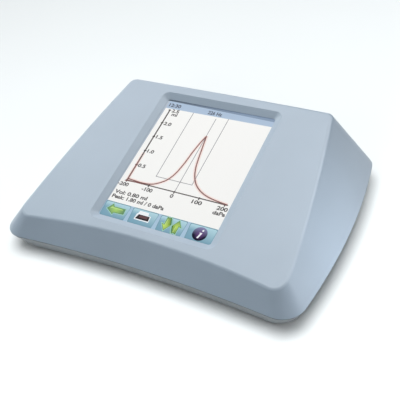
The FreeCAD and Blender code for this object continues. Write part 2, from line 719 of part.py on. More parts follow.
headers = new_body("board_headers")
sk = new_sketch(headers)
for cx, cy, cw, ch in ((-14.0, 0.0, 34.0, 4.0), (28.0, 0.0, 13.0, 4.0), (-44.0, 14.0, 5.0, 12.0),
                       (45.0, 74.0, 5.0, 16.0)):
    box_outline(sk, cw, ch, cx, cy)
pad(headers, sk, 1.2)
place(headers, (0.0, wy(14.2), top_z))

block("coin_cell_holder", 22.6, 22.6, 1.6, (26.0, wy(52.0), top_z), round_r=9.0)
turned("coin_cell", [(0, 0), (9.0, 0), (10.0, 0.6), (10.0, 3.2), (0, 3.2)], (26.0, wy(52.0), top_z + 1.6))

# ---------------------------------------------------------------- connector board and sockets
conn = new_body("connector_board")
sk = new_sketch(conn)
box_outline(sk, D.conn_w, D.conn_d)
pad(conn, sk, D.board_t)
sk = new_sketch(conn, "XY_Plane", D.board_t)
for x, y in CONN_SCREWS:
    circle(sk, 2.8, x + 14.0, y - 126.5)
pocket(conn, sk, D.board_t)
place(conn, (-14.0, wy(126.5), D.conn_z))
conn_top = D.conn_z + D.board_t

JACK_L, JACK_R, RESP, USB, DCX, PROBE, AIR = 8.0, 28.0, -12.0, -30.0, -48.0, 50.0, 68.0
face = D.bay_y + D.panel_t

panel = new_body("rear_panel")
sk = new_sketch(panel, "XZ_Plane")
box_outline(sk, D.bay_half * 2 - 0.4, D.bay_hi - D.bay_lo - 0.4)
pad(panel, sk, D.panel_t, down=True)
panel.Tip.Refine = True
HOLES = [(D.button_x, D.button_hole), (DCX, 8.2), (RESP, 6.1), (JACK_L, 9.1), (JACK_R, 9.1), (PROBE, 14.2),
         (AIR, 6.1)]
sk = new_sketch(panel, "XZ_Plane")
mid_z = (D.bay_hi + D.bay_lo) / 2
for x, dia in HOLES:
    circle(sk, dia, x, D.axis_z - mid_z)
for x, z in PANEL_SCREWS:
    circle(sk, 2.4, x, z - mid_z)
box_outline(sk, 12.4, 11.2, USB, D.axis_z - mid_z)
pocket(panel, sk, None)
place(panel, (0.0, wy(D.bay_y), mid_z))

pscrew = master([(0, 0), (0.9, 0), (0.9, 4.6), (1.9, 4.6), (1.9, 5.4), (1.4, 6.0), (0, 6.0)],
                hexagon=1.7, hex_at=6.0, hex_depth=0.9)
group("panel_screws", pscrew, [(x, wy(face) - 4.6, z) for x, z in PANEL_SCREWS], TO_BACK)


def jack(label, x, nose, body_w, body_h, body_l, bore, depth_in):
    """A socket: square body on the board, round nose through the panel, bore."""
    b = new_body(label)
    sk = new_sketch(b)
    box_outline(sk, body_w, body_h, 0.0, 0.0 - (D.axis_z - conn_top - body_h / 2))
    pad(b, sk, body_l, down=True)
    sk = new_sketch(b)
    circle(sk, nose)
    pad(b, sk, D.panel_t + 3.4)
    sk = new_sketch(b, "XY_Plane", D.panel_t + 3.4)
    circle(sk, bore)
    pocket(b, sk, depth_in)
    # own +Z to the back, own Y up
    b.Placement = FreeCAD.Placement(V(x, float(wy(D.bay_y)), F["axis_z"]),
                                    FreeCAD.Rotation(Z, 180).multiply(FreeCAD.Rotation(X, 90)).multiply(
                                        FreeCAD.Rotation(Z, 0)))
    return b


jack("phone_jack_left", JACK_L, 9.0, 15.0, 13.6, 26.0, 6.4, 20.0)
jack("phone_jack_right", JACK_R, 9.0, 15.0, 13.6, 26.0, 6.4, 20.0)
jack("response_jack", RESP, 6.0, 10.0, 11.0, 14.0, 3.6, 12.0)
nut = [(4.55, 0), (6.2, 0), (6.6, 0.4), (6.6, 1.8), (6.2, 2.2), (4.55, 2.2)]
nut_m = master(nut)
group("jack_nuts", nut_m, [(x, wy(face), D.axis_z) for x in (JACK_L, JACK_R)], TO_BACK)
small_nut = turned("response_jack_nut", [(3.05, 0), (4.6, 0), (4.9, 0.3), (4.9, 1.7), (4.6, 2.0), (3.05, 2.0)],
                   (RESP, wy(face), D.axis_z), TO_BACK)

usb = new_body("usb_port")
sk = new_sketch(usb)
box_outline(sk, 12.0, 10.8)
pad(usb, sk, 16.0)
sk = new_sketch(usb, "XY_Plane", 16.0)
box_outline(sk, 8.6, 7.8)
pocket(usb, sk, 9.0)
place(usb, (USB, wy(face) - 16.0, D.axis_z), TO_BACK)
tongue_b = new_body("usb_tongue")
sk = new_sketch(tongue_b)
box_outline(sk, 5.6, 3.2)
pad(tongue_b, sk, 7.0)
place(tongue_b, (USB, wy(face) - 9.0, D.axis_z), TO_BACK)

dc = new_body("dc_inlet")
sk = new_sketch(dc)
box_outline(sk, 9.0, 11.0)
pad(dc, sk, 12.0, down=True)
sk = new_sketch(dc)
circle(sk, 8.0)
pad(dc, sk, D.panel_t)
sk = new_sketch(dc, "XY_Plane", D.panel_t)
circle(sk, 5.6)
pocket(dc, sk, 10.0)
place(dc, (DCX, wy(D.bay_y), D.axis_z), TO_BACK)
turned("dc_pin", [(0, 0), (1.0, 0), (1.0, 8.0), (0.6, 8.6), (0, 8.6)],
       (DCX, wy(face) - 10.0, D.axis_z), TO_BACK)

turned("probe_socket", [(4.0, -16.0), (7.0, -16.0), (7.0, 2.5), (9.4, 2.5), (9.4, 5.0), (8.8, 5.6), (6.2, 5.6),
                        (6.2, -6.0), (4.0, -6.0)],
       (PROBE, wy(D.bay_y), D.axis_z), TO_BACK)
turned("probe_nut", [(7.05, 0), (9.0, 0), (9.0, 2.6), (7.05, 2.6)], (PROBE, wy(D.bay_y) - 2.6, D.axis_z), TO_BACK)
pins = new_body("probe_contacts")
sk = new_sketch(pins)
circle(sk, 12.3)
pad(pins, sk, 3.0)
sk = new_sketch(pins, "XY_Plane", 3.0)
for i in range(6):
    circle(sk, 1.1, 3.6 * math.cos(math.radians(60 * i)), 3.6 * math.sin(math.radians(60 * i)))
circle(sk, 1.1)
pad(pins, sk, 3.0)
place(pins, (PROBE, wy(D.bay_y) - 6.0, D.axis_z), TO_BACK)

turned("air_fitting", [(0.9, -7.5), (1.6, -7.5), (1.6, -2.2), (4.4, -2.2), (4.4, 0.0), (3.0, 0.0), (3.0, 2.5),
                       (4.4, 2.5), (4.4, 4.0), (2.0, 4.0), (2.0, 9.0), (1.7, 9.6), (0.9, 9.6)],
       (AIR, wy(D.bay_y), D.axis_z), TO_BACK)

# ---------------------------------------------------------------- power button
button = turned("power_button", [(0, -1.2), (D.button_dia / 2 + 0.9, -1.2), (D.button_dia / 2 + 0.9, -0.3),
                                 (D.button_dia / 2, -0.3), (D.button_dia / 2, 4.4), (D.button_dia / 2 - 0.6, 5.0),
                                 (0, 4.8)],
                (D.button_x, wy(D.bay_y), D.axis_z), TO_BACK)
sk = new_sketch(button, "XY_Plane", -1.2)
circle(sk, 2.2)
pad(button, sk, 4.6, down=True)
switch = new_body("power_switch")
sk = new_sketch(switch)
box_outline(sk, 12.0, 12.0)
pad(switch, sk, 9.0, down=True)
sk = new_sketch(switch)
circle(sk, 6.0)
pocket(switch, sk, 5.0)
place(switch, (D.button_x, wy(D.bay_y) - 4.0, D.axis_z), TO_BACK)


def coil(r, wire_r, pitch, height):
    """A compression spring with its wire swept along a helix."""
    helix = Part.makeHelix(pitch, height, r)
    prof = Part.Wire([Part.makeCircle(wire_r, V(r, 0, 0), Y)])
    return Part.Wire(helix).makePipeShell([prof], True, True).Solids[0]


feature("button_spring", coil(1.95, 0.25, 1.8, 7.2),
        FreeCAD.Placement(V(F["button_x"], F["bay_y"] - F["mid_y"] - 8.7, F["axis_z"]), TO_BACK))

# ---------------------------------------------------------------- air pump
PUMP = (D.pump_x, D.pump_z)
CYL_Y = 36.0
cyl_body = turned("pump_cylinder", [(0.8, -5.0), (1.6, -5.0), (1.6, 0.0), (D.cyl_dia / 2, 0.0),
                                    (D.cyl_dia / 2, D.cyl_len), (D.cyl_bore / 2, D.cyl_len),
                                    (D.cyl_bore / 2, 3.0), (0.8, 3.0)],
                  (D.pump_x, wy(CYL_Y), D.pump_z), TO_BACK)
piston_r = D.cyl_bore / 2 - D.piston_gap
piston = turned("pump_piston", [(0, 0), (piston_r, 0), (piston_r, 2.6), (piston_r - 1.3, 2.6),
                                (piston_r - 1.3, 4.8), (piston_r, 4.8), (piston_r, 8.0), (D.rod_dia / 2, 8.0),
                                (D.rod_dia / 2, 44.0), (0, 44.0)],
                (D.pump_x, wy(60.0), D.pump_z), TO_BACK)
turned("piston_seal", [(piston_r - 1.25, 2.75), (piston_r - 0.65, 2.65), (piston_r - 0.02, 3.2),
                       (piston_r - 0.02, 4.2), (piston_r - 0.65, 4.75), (piston_r - 1.25, 4.65)],
       (D.pump_x, wy(60.0), D.pump_z), TO_BACK)
pbr = new_body("pump_bracket")
sk = new_sketch(pbr, "YZ_Plane")
outline(sk, [(0, 0), (24.0, 0), (24.0, 2.0), (2.0, 2.0), (2.0, 31.0), (0, 31.0)])
f = pad(pbr, sk, 30.0)
f.Midplane = True
doc.recompute()
sk = new_sketch(pbr, "XZ_Plane")
circle(sk, D.rod_dia + 1.4, 0.0, D.pump_z - 7.0)
pocket(pbr, sk, 3.0)
sk = new_sketch(pbr, "XY_Plane", 2.0)
for x, y in PUMP_SCREWS:
    circle(sk, 3.2, x - D.pump_x, y - 76.0)
pocket(pbr, sk, 2.0)
place(pbr, (D.pump_x, wy(76.0), 7.0))
motor = turned("pump_motor", [(D.rod_dia / 2 + 0.35, 0.0), (D.motor_dia / 2, 0.0), (D.motor_dia / 2, D.motor_len),
                              (5.0, D.motor_len), (5.0, D.motor_len + 1.5), (D.rod_dia / 2 + 0.35, D.motor_len + 1.5)],
               (D.pump_x, wy(78.0), D.pump_z), TO_BACK)
pump_screw = master([(0, 0), (1.0, 0), (1.0, 5.5), (2.4, 5.5), (2.4, 7.2), (0, 7.2)])
group("pump_screws", pump_screw, [(x, wy(y), 9.0 - 5.5) for x, y in PUMP_SCREWS]
      + [(x, wy(y), 14.0 - 5.5) for x, y in CLAMP_SCREWS] + [(x, wy(y), 14.0 - 5.5) for x, y in MANI_SCREWS])

mani = new_body("air_manifold")
sk = new_sketch(mani)
box_outline(sk, 30.0, 14.0)
pad(mani, sk, 12.0)
sk = new_sketch(mani, "XY_Plane", 12.0)
circle(sk, 5.4, 24.0 - 36.0, 4.0)
circle(sk, 5.4, 12.0, 4.0)
pocket(mani, sk, 10.0)
sk = new_sketch(mani, "XY_Plane", 2.0)
circle(sk, 2.6, -12.0, 4.0)
circle(sk, 2.6, 12.0, 4.0)
pocket(mani, sk, 2.0)
sk = new_sketch(mani, "XZ_Plane", 0.0)
circle(sk, 3.2, -4.0, 6.0)
pad(mani, sk, 12.0, down=True)
sk = new_sketch(mani, "YZ_Plane", 0.0)
circle(sk, 3.2, -3.0, 6.0)
pad(mani, sk, 20.0, down=True)
place(mani, (79.0, wy(115.0), 12.0))
block("pressure_sensor", 9.0, 6.0, 6.0, (75.0, wy(112.0), 24.0), round_r=1.0)

valve = turned("vent_valve", [(0, 0), (5.0, 0), (5.0, 14.0), (6.0, 14.0), (6.0, 15.0), (2.0, 15.0), (2.0, 8.0), (0, 8.0)],
               (88.0, wy(112.0), 24.0))
turned("valve_plunger", [(0, 9.2), (1.95, 9.2), (1.95, 17.6), (1.4, 18.2), (0, 18.2)], (88.0, wy(112.0), 24.0))


# ---------------------------------------------------------------- tubes and wires
def run(points, r):
    """Straight runs joined by tangent arcs. Returns the wire and its radii."""
    pts = [V(p[0], p[1] - F["mid_y"], p[2]) for p in points]
    edges, radii, last = [], [], pts[0]
    for i in range(1, len(pts) - 1):
        a, b = pts[i - 1] - pts[i], pts[i + 1] - pts[i]
        turn = math.pi - a.getAngle(b)
        room = 0.45 * min(a.Length, b.Length)
        rad = min(r, room / math.tan(turn / 2))
        t = rad * math.tan(turn / 2)
        a.normalize()
        b.normalize()
        s, e = pts[i] + a * t, pts[i] + b * t
        mid = pts[i] + (a + b).normalize() * (math.hypot(rad, t) - rad)
        edges += [Part.LineSegment(last, s).toShape(), Part.Arc(s, mid, e).toShape()]
        radii.append(round(rad, 1))
        last = e
    edges.append(Part.LineSegment(last, pts[-1]).toShape())
    return Part.Wire(edges), radii


def tube(label, points, r, outer_d, inner_d=None):
    wire, radii = run(points, r)
    start = wire.Edges[0].Vertexes[0].Point
    d = (wire.Edges[0].Vertexes[1].Point - start).normalize()

    def sweep(dia):
        prof = Part.Wire([Part.makeCircle(dia / 2, start, d)])
        return wire.makePipeShell([prof], True, False).Solids[0]
    s = sweep(outer_d)
    want = math.pi * outer_d ** 2 / 4 * wire.Length
    if inner_d:
        s = s.cut(sweep(inner_d))
        want -= math.pi * inner_d ** 2 / 4 * wire.Length
    print("%s: length %.0f, arc radii %s, volume ratio %.3f" % (label, wire.Length, radii, s.Volume / want))
    return s.Solids[0]


feature("pump_tube", tube("pump_tube", [(78, 35.4, 24), (78, 24, 24), (66, 17, 23), (55.6, 26, 20), (55.6, 60, 18),
                                        (55.6, 112, 18), (63.4, 112, 18)], 9.0, 5.2, 3.3))
feature("probe_tube", tube("probe_tube", [(75, 122.6, 18), (75, 131, 18), (68, 131.4, 22), (68, 132.2, 33.2),
                                          (68, 141.2, 33.2)], 6.0, 5.2, 3.3))
leads = [tube("battery_lead", [(x, 30.8, 20), (x, 26, 20), (x + 8, 23.5, 17), (-52 + dx, 27.2 + dx, 15.6),
                               (-47.2, 27.2 + dx, 15.6)], 4.0, 1.6)
         for x, dx in ((-68.0, 0.0), (-71.4, 2.6))]
comp = Part.makeCompound(leads)
feature("battery_leads", comp)

# ---------------------------------------------------------------- battery, loudspeaker
pack = block("battery_pack", D.pack_l, D.pack_w, D.pack_h, (-78.0, wy(68.8), 4.6), rotation=FreeCAD.Rotation(Z, 90))
whole_pack = pack.Tip
names = ["Edge%d" % i for i, e in enumerate(whole_pack.Shape.Edges, start=1)
         if abs((e.Vertexes[1].Point - e.Vertexes[0].Point).x) > 1]
fl = pack.newObject("PartDesign::Fillet", uid("Fillet"))
fl.Base = (whole_pack, names)
fl.Radius = 9.0
doc.recompute()

clamp = new_body("battery_clamp")
sk = new_sketch(clamp, "XZ_Plane")
outline(sk, [(-28.0, 0), (-20.2, 0), (-20.2, 12.0), (20.2, 12.0), (20.2, 0), (28.0, 0), (28.0, 2.0), (22.2, 2.0),
             (22.2, 14.0), (-22.2, 14.0), (-22.2, 2.0), (-28.0, 2.0)])
f = pad(clamp, sk, 10.0)
f.Midplane = True
doc.recompute()
sk = new_sketch(clamp, "XY_Plane", 2.0)
for x, y in CLAMP_SCREWS:
    circle(sk, 2.6, x + 78.0, y - 68.0)
pocket(clamp, sk, 2.0)
place(clamp, (-78.0, wy(68.0), 12.0))

turned("loudspeaker", [(0, 1.4), (4.5, 1.2), (D.speaker_dia / 2 - 2.0, 0.2), (D.speaker_dia / 2 - 1.6, 0.0),
                       (D.speaker_dia / 2, 0.0), (D.speaker_dia / 2, 2.0), (9.0, 3.4), (9.0, 7.0), (0, 7.0)],
       (SPK[0], wy(SPK[1]), 4.4))

# ---------------------------------------------------------------- checks and export
doc.recompute()
bad = [o.Name for o in doc.Objects if "Invalid" in o.State or "Error" in o.State]
if bad:
    raise RuntimeError("failed objects: %s" % bad)
for label, obj in sorted(NODES.items()):
    s = obj.Shape
    if s.isNull() or not s.isValid() or not s.Solids:
        raise RuntimeError("bad shape: %s" % label)
whole = FreeCAD.BoundBox()
for label, obj in sorted(NODES.items()):
    whole.add(obj.Shape.optimalBoundingBox(False))
    obj.Shape.exportStep("parts/%s.step" % label)
    b = obj.Shape.BoundBox
    print("%-20s solids %2d  vol %9.1f  x %.1f..%.1f  y %.1f..%.1f  z %.1f..%.1f" % (
        label, len(obj.Shape.Solids), obj.Shape.Volume, b.XMin, b.XMax, b.YMin, b.YMax, b.ZMin, b.ZMax))
print("nodes", len(NODES), "box", [round(q, 2) for q in (whole.XMin, whole.XMax, whole.YMin, whole.YMax,
                                                         whole.ZMin, whole.ZMax)])
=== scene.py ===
import json
import math

import bmesh
import bpy
from mathutils import Matrix, Vector


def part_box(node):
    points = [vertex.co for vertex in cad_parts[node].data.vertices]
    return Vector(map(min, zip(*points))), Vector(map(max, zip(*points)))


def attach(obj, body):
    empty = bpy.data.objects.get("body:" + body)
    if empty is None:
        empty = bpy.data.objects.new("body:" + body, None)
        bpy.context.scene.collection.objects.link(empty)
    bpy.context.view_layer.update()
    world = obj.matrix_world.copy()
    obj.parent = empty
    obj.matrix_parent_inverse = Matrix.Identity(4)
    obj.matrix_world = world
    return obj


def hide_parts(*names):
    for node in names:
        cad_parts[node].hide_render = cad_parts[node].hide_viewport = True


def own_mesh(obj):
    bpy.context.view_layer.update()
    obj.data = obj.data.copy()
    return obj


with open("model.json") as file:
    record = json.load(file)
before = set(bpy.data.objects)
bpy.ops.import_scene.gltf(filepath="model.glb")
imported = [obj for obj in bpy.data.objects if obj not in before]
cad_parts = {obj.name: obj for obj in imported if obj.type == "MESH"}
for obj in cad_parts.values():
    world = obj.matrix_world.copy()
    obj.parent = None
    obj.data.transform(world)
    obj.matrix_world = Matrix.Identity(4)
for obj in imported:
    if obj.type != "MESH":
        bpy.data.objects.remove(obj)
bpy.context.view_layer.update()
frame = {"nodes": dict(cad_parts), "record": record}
nodes = frame["nodes"]

MM = 0.001
TILT = math.radians(15.0)
MID_Y = 0.0781          # the front crease line is this far in front of the origin
CREASE_Z = 0.0314
PLATE = Matrix.Translation((0, -MID_Y, CREASE_Z)) @ Matrix.Rotation(TILT, 4, "X")
SCREEN = PLATE @ Matrix.Translation((0, 73.6 * MM, 0)) @ Matrix.Diagonal((MM, MM, MM, 1))
FACE = (144.0 + 2.5) * MM - MID_Y      # outer face of the rear panel
AXIS_Z = 33.2 * MM

# ------------------------------------------------------------------ camera
cam = bpy.data.objects.new("camera", bpy.data.cameras.new("camera"))
bpy.context.scene.collection.objects.link(cam)
right, up, back = (0.86896, 0.47787, -0.12861), (-0.22116, 0.60749, 0.76292), (0.44271, -0.63450, 0.63357)
cam.matrix_world = Matrix(((right[0], up[0], back[0], 0.24318),
                           (right[1], up[1], back[1], -0.34683),
                           (right[2], up[2], back[2], 0.35745),
                           (0, 0, 0, 1)))
cam.data.sensor_width = 36.0
cam.data.lens = 65.39
cam.data.clip_start, cam.data.clip_end = 0.01, 20.0
bpy.context.scene.camera = cam


# ------------------------------------------------------------------ materials
def lin(c):
    """sRGB 0..255 to linear."""
    return tuple(((v / 255.0) / 12.92 if v / 255.0 <= 0.04045 else ((v / 255.0 + 0.055) / 1.055) ** 2.4) for v in c)


class Mat:
    """A procedural material built on one Principled shader."""

    def __init__(self, name, colour, rough=0.5, metal=0.0, **sockets):
        self.m = bpy.data.materials.new(name)
        self.m.use_nodes = True
        self.t = self.m.node_tree
        self.b = self.t.nodes["Principled BSDF"]
        self.colour = tuple(colour[:3]) + (1.0,)
        self.b.inputs["Base Color"].default_value = self.colour
        self.b.inputs["Roughness"].default_value = rough
        self.b.inputs["Metallic"].default_value = metal
        self.rough = rough
        for k, v in sockets.items():
            self.b.inputs[k.replace("_", " ")].default_value = v
        self.co = self.t.nodes.new("ShaderNodeTexCoord")
        self.normal = None
        self.m.diffuse_color = self.colour

    def new(self, kind, **props):
        n = self.t.nodes.new(kind)
        for k, v in props.items():
            setattr(n, k, v)
        return n

    def link(self, a, b):
        self.t.links.new(a, b)

    def mapped(self, scale=(1, 1, 1), rotation=(0, 0, 0), location=(0, 0, 0)):
        mp = self.new("ShaderNodeMapping")
        mp.inputs["Scale"].default_value = scale
        mp.inputs["Rotation"].default_value = rotation
        mp.inputs["Location"].default_value = location
        self.link(self.co.outputs["Object"], mp.inputs["Vector"])
        return mp.outputs["Vector"]

    def noise(self, scale, detail=3.0, rough=0.55, vector=None, distortion=0.0):
        n = self.new("ShaderNodeTexNoise")
        n.inputs["Scale"].default_value = scale
        n.inputs["Detail"].default_value = detail
        n.inputs["Roughness"].default_value = rough
        n.inputs["Distortion"].default_value = distortion
        self.link(vector or self.co.outputs["Object"], n.inputs["Vector"])
        return n.outputs["Fac"]

    def voronoi(self, scale, feature="F1", vector=None):
        n = self.new("ShaderNodeTexVoronoi")
        n.feature = feature
        n.inputs["Scale"].default_value = scale
        self.link(vector or self.co.outputs["Object"], n.inputs["Vector"])
        return n.outputs["Distance"]

    def span(self, value, a, b, c, d):
        n = self.new("ShaderNodeMapRange")
        for k, v in zip(("From Min", "From Max", "To Min", "To Max"), (a, b, c, d)):
            n.inputs[k].default_value = v
        self.link(value, n.inputs["Value"])
        return n.outputs["Result"]

    def mix(self, fac, a, b):
        n = self.new("ShaderNodeMix", data_type="RGBA")
        self.link(fac, n.inputs["Factor"])
        for sock, v in ((n.inputs[6], a), (n.inputs[7], b)):
            if isinstance(v, tuple):
                sock.default_value = (tuple(v) + (1.0,))[:4]
            else:
                self.link(v, sock)
        return n.outputs[2]

    def paint(self, out):
        self.link(out, self.b.inputs["Base Color"])
        self.painted = out
        return self

    def shade(self, amount=0.05, scale=30.0, detail=2.0):
        """Slow variation of the base colour."""
        c = self.colour[:3]
        f = self.span(self.noise(scale, detail), 0.3, 0.7, 0.0, 1.0)
        return self.paint(self.mix(f, tuple(v * (1 - amount) for v in c), tuple(min(1, v * (1 + amount)) for v in c)))

    def gloss(self, amount=0.06, scale=90.0):
        f = self.span(self.noise(scale, 4.0), 0.3, 0.7, self.rough - amount, self.rough + amount)
        self.link(f, self.b.inputs["Roughness"])
        return self

    def bump(self, height, strength=0.2, distance=0.0001):
        n = self.new("ShaderNodeBump")
        n.inputs["Strength"].default_value = strength
        n.inputs["Distance"].default_value = distance
        self.link(height, n.inputs["Height"])
        if self.normal is not None:
            self.link(self.normal, n.inputs["Normal"])
        self.normal = n.outputs["Normal"]
        self.link(self.normal, self.b.inputs["Normal"])
        return self


M = {}


def moulded(key, colour, rough, grain=2600.0, depth=0.00003, strength=0.25, vary=0.025, spec=0.5):
    """Moulded plastic: spark-eroded grain, faint flow marks, uneven gloss."""
    a = Mat(key, colour, rough, Specular_IOR_Level=spec)
    a.shade(vary, 22.0)
    a.gloss(0.05, 120.0)
    a.bump(a.noise(grain, 2.0, 0.6), strength, depth)
    M[key] = a.m
    return a


def metal(key, colour, rough, stretch=(1, 1, 1), scale=1500.0, strength=0.15, metallic=1.0):
    a = Mat(key, colour, rough, metallic)
    v = a.mapped(stretch)
    f = a.noise(scale, 3.0, 0.6, v)
    a.link(a.span(f, 0.3, 0.7, max(0.05, rough - 0.08), rough + 0.1), a.b.inputs["Roughness"])
    c = a.colour[:3]
    a.paint(a.mix(a.span(a.noise(140.0, 3.0), 0.35, 0.65, 0, 1), tuple(v * 0.9 for v in c), tuple(min(1, v * 1.05) for v in c)))
    a.bump(f, strength, 0.00002)
    M[key] = a.m
    return a


moulded("housing_blue", (0.390, 0.470, 0.565), 0.34, vary=0.018)
moulded("base_grey", (0.205, 0.228, 0.245), 0.42, vary=0.03)
moulded("panel_grey", (0.060, 0.072, 0.086), 0.45, grain=3200.0, vary=0.03)
moulded("black_plastic", (0.018, 0.018, 0.020), 0.42, grain=3500.0)
moulded("white_plastic", (0.74, 0.74, 0.71), 0.45)
moulded("rubber", (0.020, 0.020, 0.021), 0.82, grain=5200.0, depth=0.00006, strength=0.5, vary=0.15, spec=0.3)
moulded("button_grey", (0.055, 0.068, 0.080), 0.4, grain=4000.0)
moulded("chip_black", (0.016, 0.016, 0.018), 0.55, grain=6000.0, strength=0.4)
a = moulded("foam", (0.022, 0.022, 0.024), 0.9, grain=900.0)
a.bump(a.voronoi(2400.0), 0.8, 0.0002)
a = moulded("silicone", (0.70, 0.72, 0.72), 0.35, grain=1200.0)
a.b.inputs["Subsurface Weight"].default_value = 0.3
a.b.inputs["Subsurface Radius"].default_value = (0.002, 0.002, 0.002)
metal("steel", (0.56, 0.57, 0.59), 0.34, stretch=(1, 14, 1))
metal("nickel", (0.70, 0.69, 0.66), 0.22, scale=2600.0, strength=0.08)
metal("brass", (0.70, 0.52, 0.24), 0.3, scale=2400.0)
metal("speaker_black", (0.05, 0.05, 0.055), 0.45, scale=3000.0, metallic=0.3)
# solder mask over copper: tracks and pads
a = Mat("pcb_green", (0.016, 0.115, 0.050), 0.34, Coat_Weight=0.35, Coat_Roughness=0.15)
v = a.mapped((1, 1, 0))
sep = a.new("ShaderNodeSeparateXYZ")
a.link(v, sep.inputs["Vector"])
bundles = []
for axis in ("X", "Y"):
    # a bundle of parallel tracks, 1.3 mm apart
    s = a.new("ShaderNodeMath", operation="MULTIPLY")
    s.inputs[1].default_value = 2 * math.pi / 0.0013
    a.link(sep.outputs[axis], s.inputs[0])
    c = a.new("ShaderNodeMath", operation="COSINE")
    a.link(s.outputs[0], c.inputs[0])
    bundles.append(a.span(c.outputs[0], 0.72, 0.80, 0.0, 1.0))
patch = a.new("ShaderNodeTexVoronoi")
patch.distance = "CHEBYCHEV"
patch.inputs["Scale"].default_value = 95.0
a.link(v, patch.inputs["Vector"])
cell = a.new("ShaderNodeSeparateColor")
a.link(patch.outputs["Color"], cell.inputs[0])
pick = a.new("ShaderNodeMix", data_type="FLOAT")
a.link(a.span(cell.outputs["Red"], 0.49, 0.51, 0.0, 1.0), pick.inputs["Factor"])
a.link(bundles[0], pick.inputs["A"])
a.link(bundles[1], pick.inputs["B"])
# some patches are bare
used = a.new("ShaderNodeMath", operation="MULTIPLY")
a.link(a.span(cell.outputs["Green"], 0.30, 0.32, 0.0, 1.0), used.inputs[0])
a.link(pick.outputs["Result"], used.inputs[1])
tracks = used.outputs[0]
plain = a.mix(a.span(a.noise(60.0, 2.0, 0.5, v), 0.3, 0.7, 0.0, 1.0), (0.011, 0.082, 0.036), (0.016, 0.105, 0.046))
vias = a.span(a.voronoi(230.0, vector=v), 0.085, 0.12, 1.0, 0.0)
a.paint(a.mix(vias, a.mix(tracks, plain, (0.036, 0.215, 0.088)), (0.60, 0.48, 0.22)))
a.bump(tracks, 0.3, 0.00004)
M["pcb_green"] = a.m
# polyimide ribbon with copper tracks running along it
a = Mat("polyimide", (0.42, 0.17, 0.025), 0.32, Coat_Weight=0.4, Coat_Roughness=0.2)
wv = a.new("ShaderNodeTexWave", wave_type="BANDS", bands_direction="X")
wv.inputs["Scale"].default_value = 330.0
a.link(a.co.outputs["Object"], wv.inputs["Vector"])
a.paint(a.mix(a.span(wv.outputs["Fac"], 0.45, 0.6, 0, 1), (0.42, 0.17, 0.025), (0.66, 0.34, 0.08)))
a.bump(wv.outputs["Fac"], 0.3, 0.00004)
M["polyimide"] = a.m
# shrink sleeve round the cells: fine wrinkles
a = Mat("cell_wrap", (0.012, 0.060, 0.230), 0.28, Coat_Weight=0.5, Coat_Roughness=0.12)
a.shade(0.18, 60.0)
a.bump(a.noise(260.0, 4.0, 0.6, a.mapped((1, 0.25, 1))), 0.5, 0.0003)
M["cell_wrap"] = a.m
# hard-coated touch film
a = Mat("touch_glass", (0.030, 0.036, 0.042), 0.2, Coat_Weight=0.4, Coat_Roughness=0.08)
a.gloss(0.03, 200.0)
a.bump(a.noise(5200.0, 1.0), 0.06, 0.00001)
M["touch_glass"] = a.m
a = Mat("display", (0.80, 0.83, 0.84), 0.4)
a.shade(0.02, 40.0)
M["display"] = a.m

for n, o in nodes.items():
    key = next(s["material_slot"] for s in frame["record"]["subparts"] if s["node"] == n)
    o.data.materials.clear()
    o.data.materials.append(M[key])


# ------------------------------------------------------------------ building flat pieces on the screen
def at(x, q, n, place=SCREEN):
    """x across and q up the screen from its centre, n out of the plate, millimetres."""
    return place @ Vector((x, q, n))


def slab(bm, outline, n0, n1, place=SCREEN):
    """A closed thin plate with this outline."""
    lo = [bm.verts.new(at(x, q, n0, place)) for x, q in outline]
    hi = [bm.verts.new(at(x, q, n1, place)) for x, q in outline]
    area = sum(outline[i - 1][0] * outline[i][1] - outline[i][0] * outline[i - 1][1] for i in range(len(outline)))
    if area < 0:
        lo.reverse()
        hi.reverse()
    bm.faces.new(hi)
    bm.faces.new(lo[::-1])
    for i in range(len(lo)):
        j = (i + 1) % len(lo)
        bm.faces.new((lo[i], lo[j], hi[j], hi[i]))


def finish_mesh(name, bm, material, body="housing", smooth=False):
    bmesh.ops.triangulate(bm, faces=[f for f in bm.faces if len(f.verts) > 4])
    me = bpy.data.meshes.new(name)
    bm.to_mesh(me)
    bm.free()
    o = bpy.data.objects.new(name, me)
    bpy.context.scene.collection.objects.link(o)
    o.data.materials.append(material)
    for p in me.polygons:
        p.use_smooth = smooth
    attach(o, body)
    return o


def flat(name, outlines, n0, n1, material):
    bm = bmesh.new()
    for line in outlines:
        slab(bm, line, n0, n1)
    return finish_mesh(name, bm, material)


def rounded(x0, q0, x1, q1, r, steps=6):
    pts = []
    for cx, cq, a0 in ((x1 - r, q0 + r, -90), (x1 - r, q1 - r, 0), (x0 + r, q1 - r, 90), (x0 + r, q0 + r, 180)):
        for i in range(steps + 1):
            t = math.radians(a0 + 90 * i / steps)
            pts.append((cx + r * math.cos(t), cq + r * math.sin(t)))
    return pts


def rect(x0, q0, x1, q1):
    return [(x0, q0), (x1, q0), (x1, q1), (x0, q1)]


def stroke(points, width):
    """The outline of a drawn line of this width."""
    left, right_side = [], []
    for i, (x, q) in enumerate(points):
        a = Vector(points[i]) - Vector(points[i - 1]) if i else None
        b = Vector(points[i + 1]) - Vector(points[i]) if i < len(points) - 1 else None
        d = ((a.normalized() if a else Vector((0, 0))) + (b.normalized() if b else Vector((0, 0))))
        if d.length < 1e-6:
            d = a
        d.normalize()
        n = Vector((-d.y, d.x))
        k = 1.0
        if a and b:
            k = 1.0 / max(0.45, n.dot(Vector((-a.normalized().y, a.normalized().x))))
        left.append((x + n.x * width / 2 * k, q + n.y * width / 2 * k))
        right_side.append((x - n.x * width / 2 * k, q - n.y * width / 2 * k))
    return left + right_side[::-1]


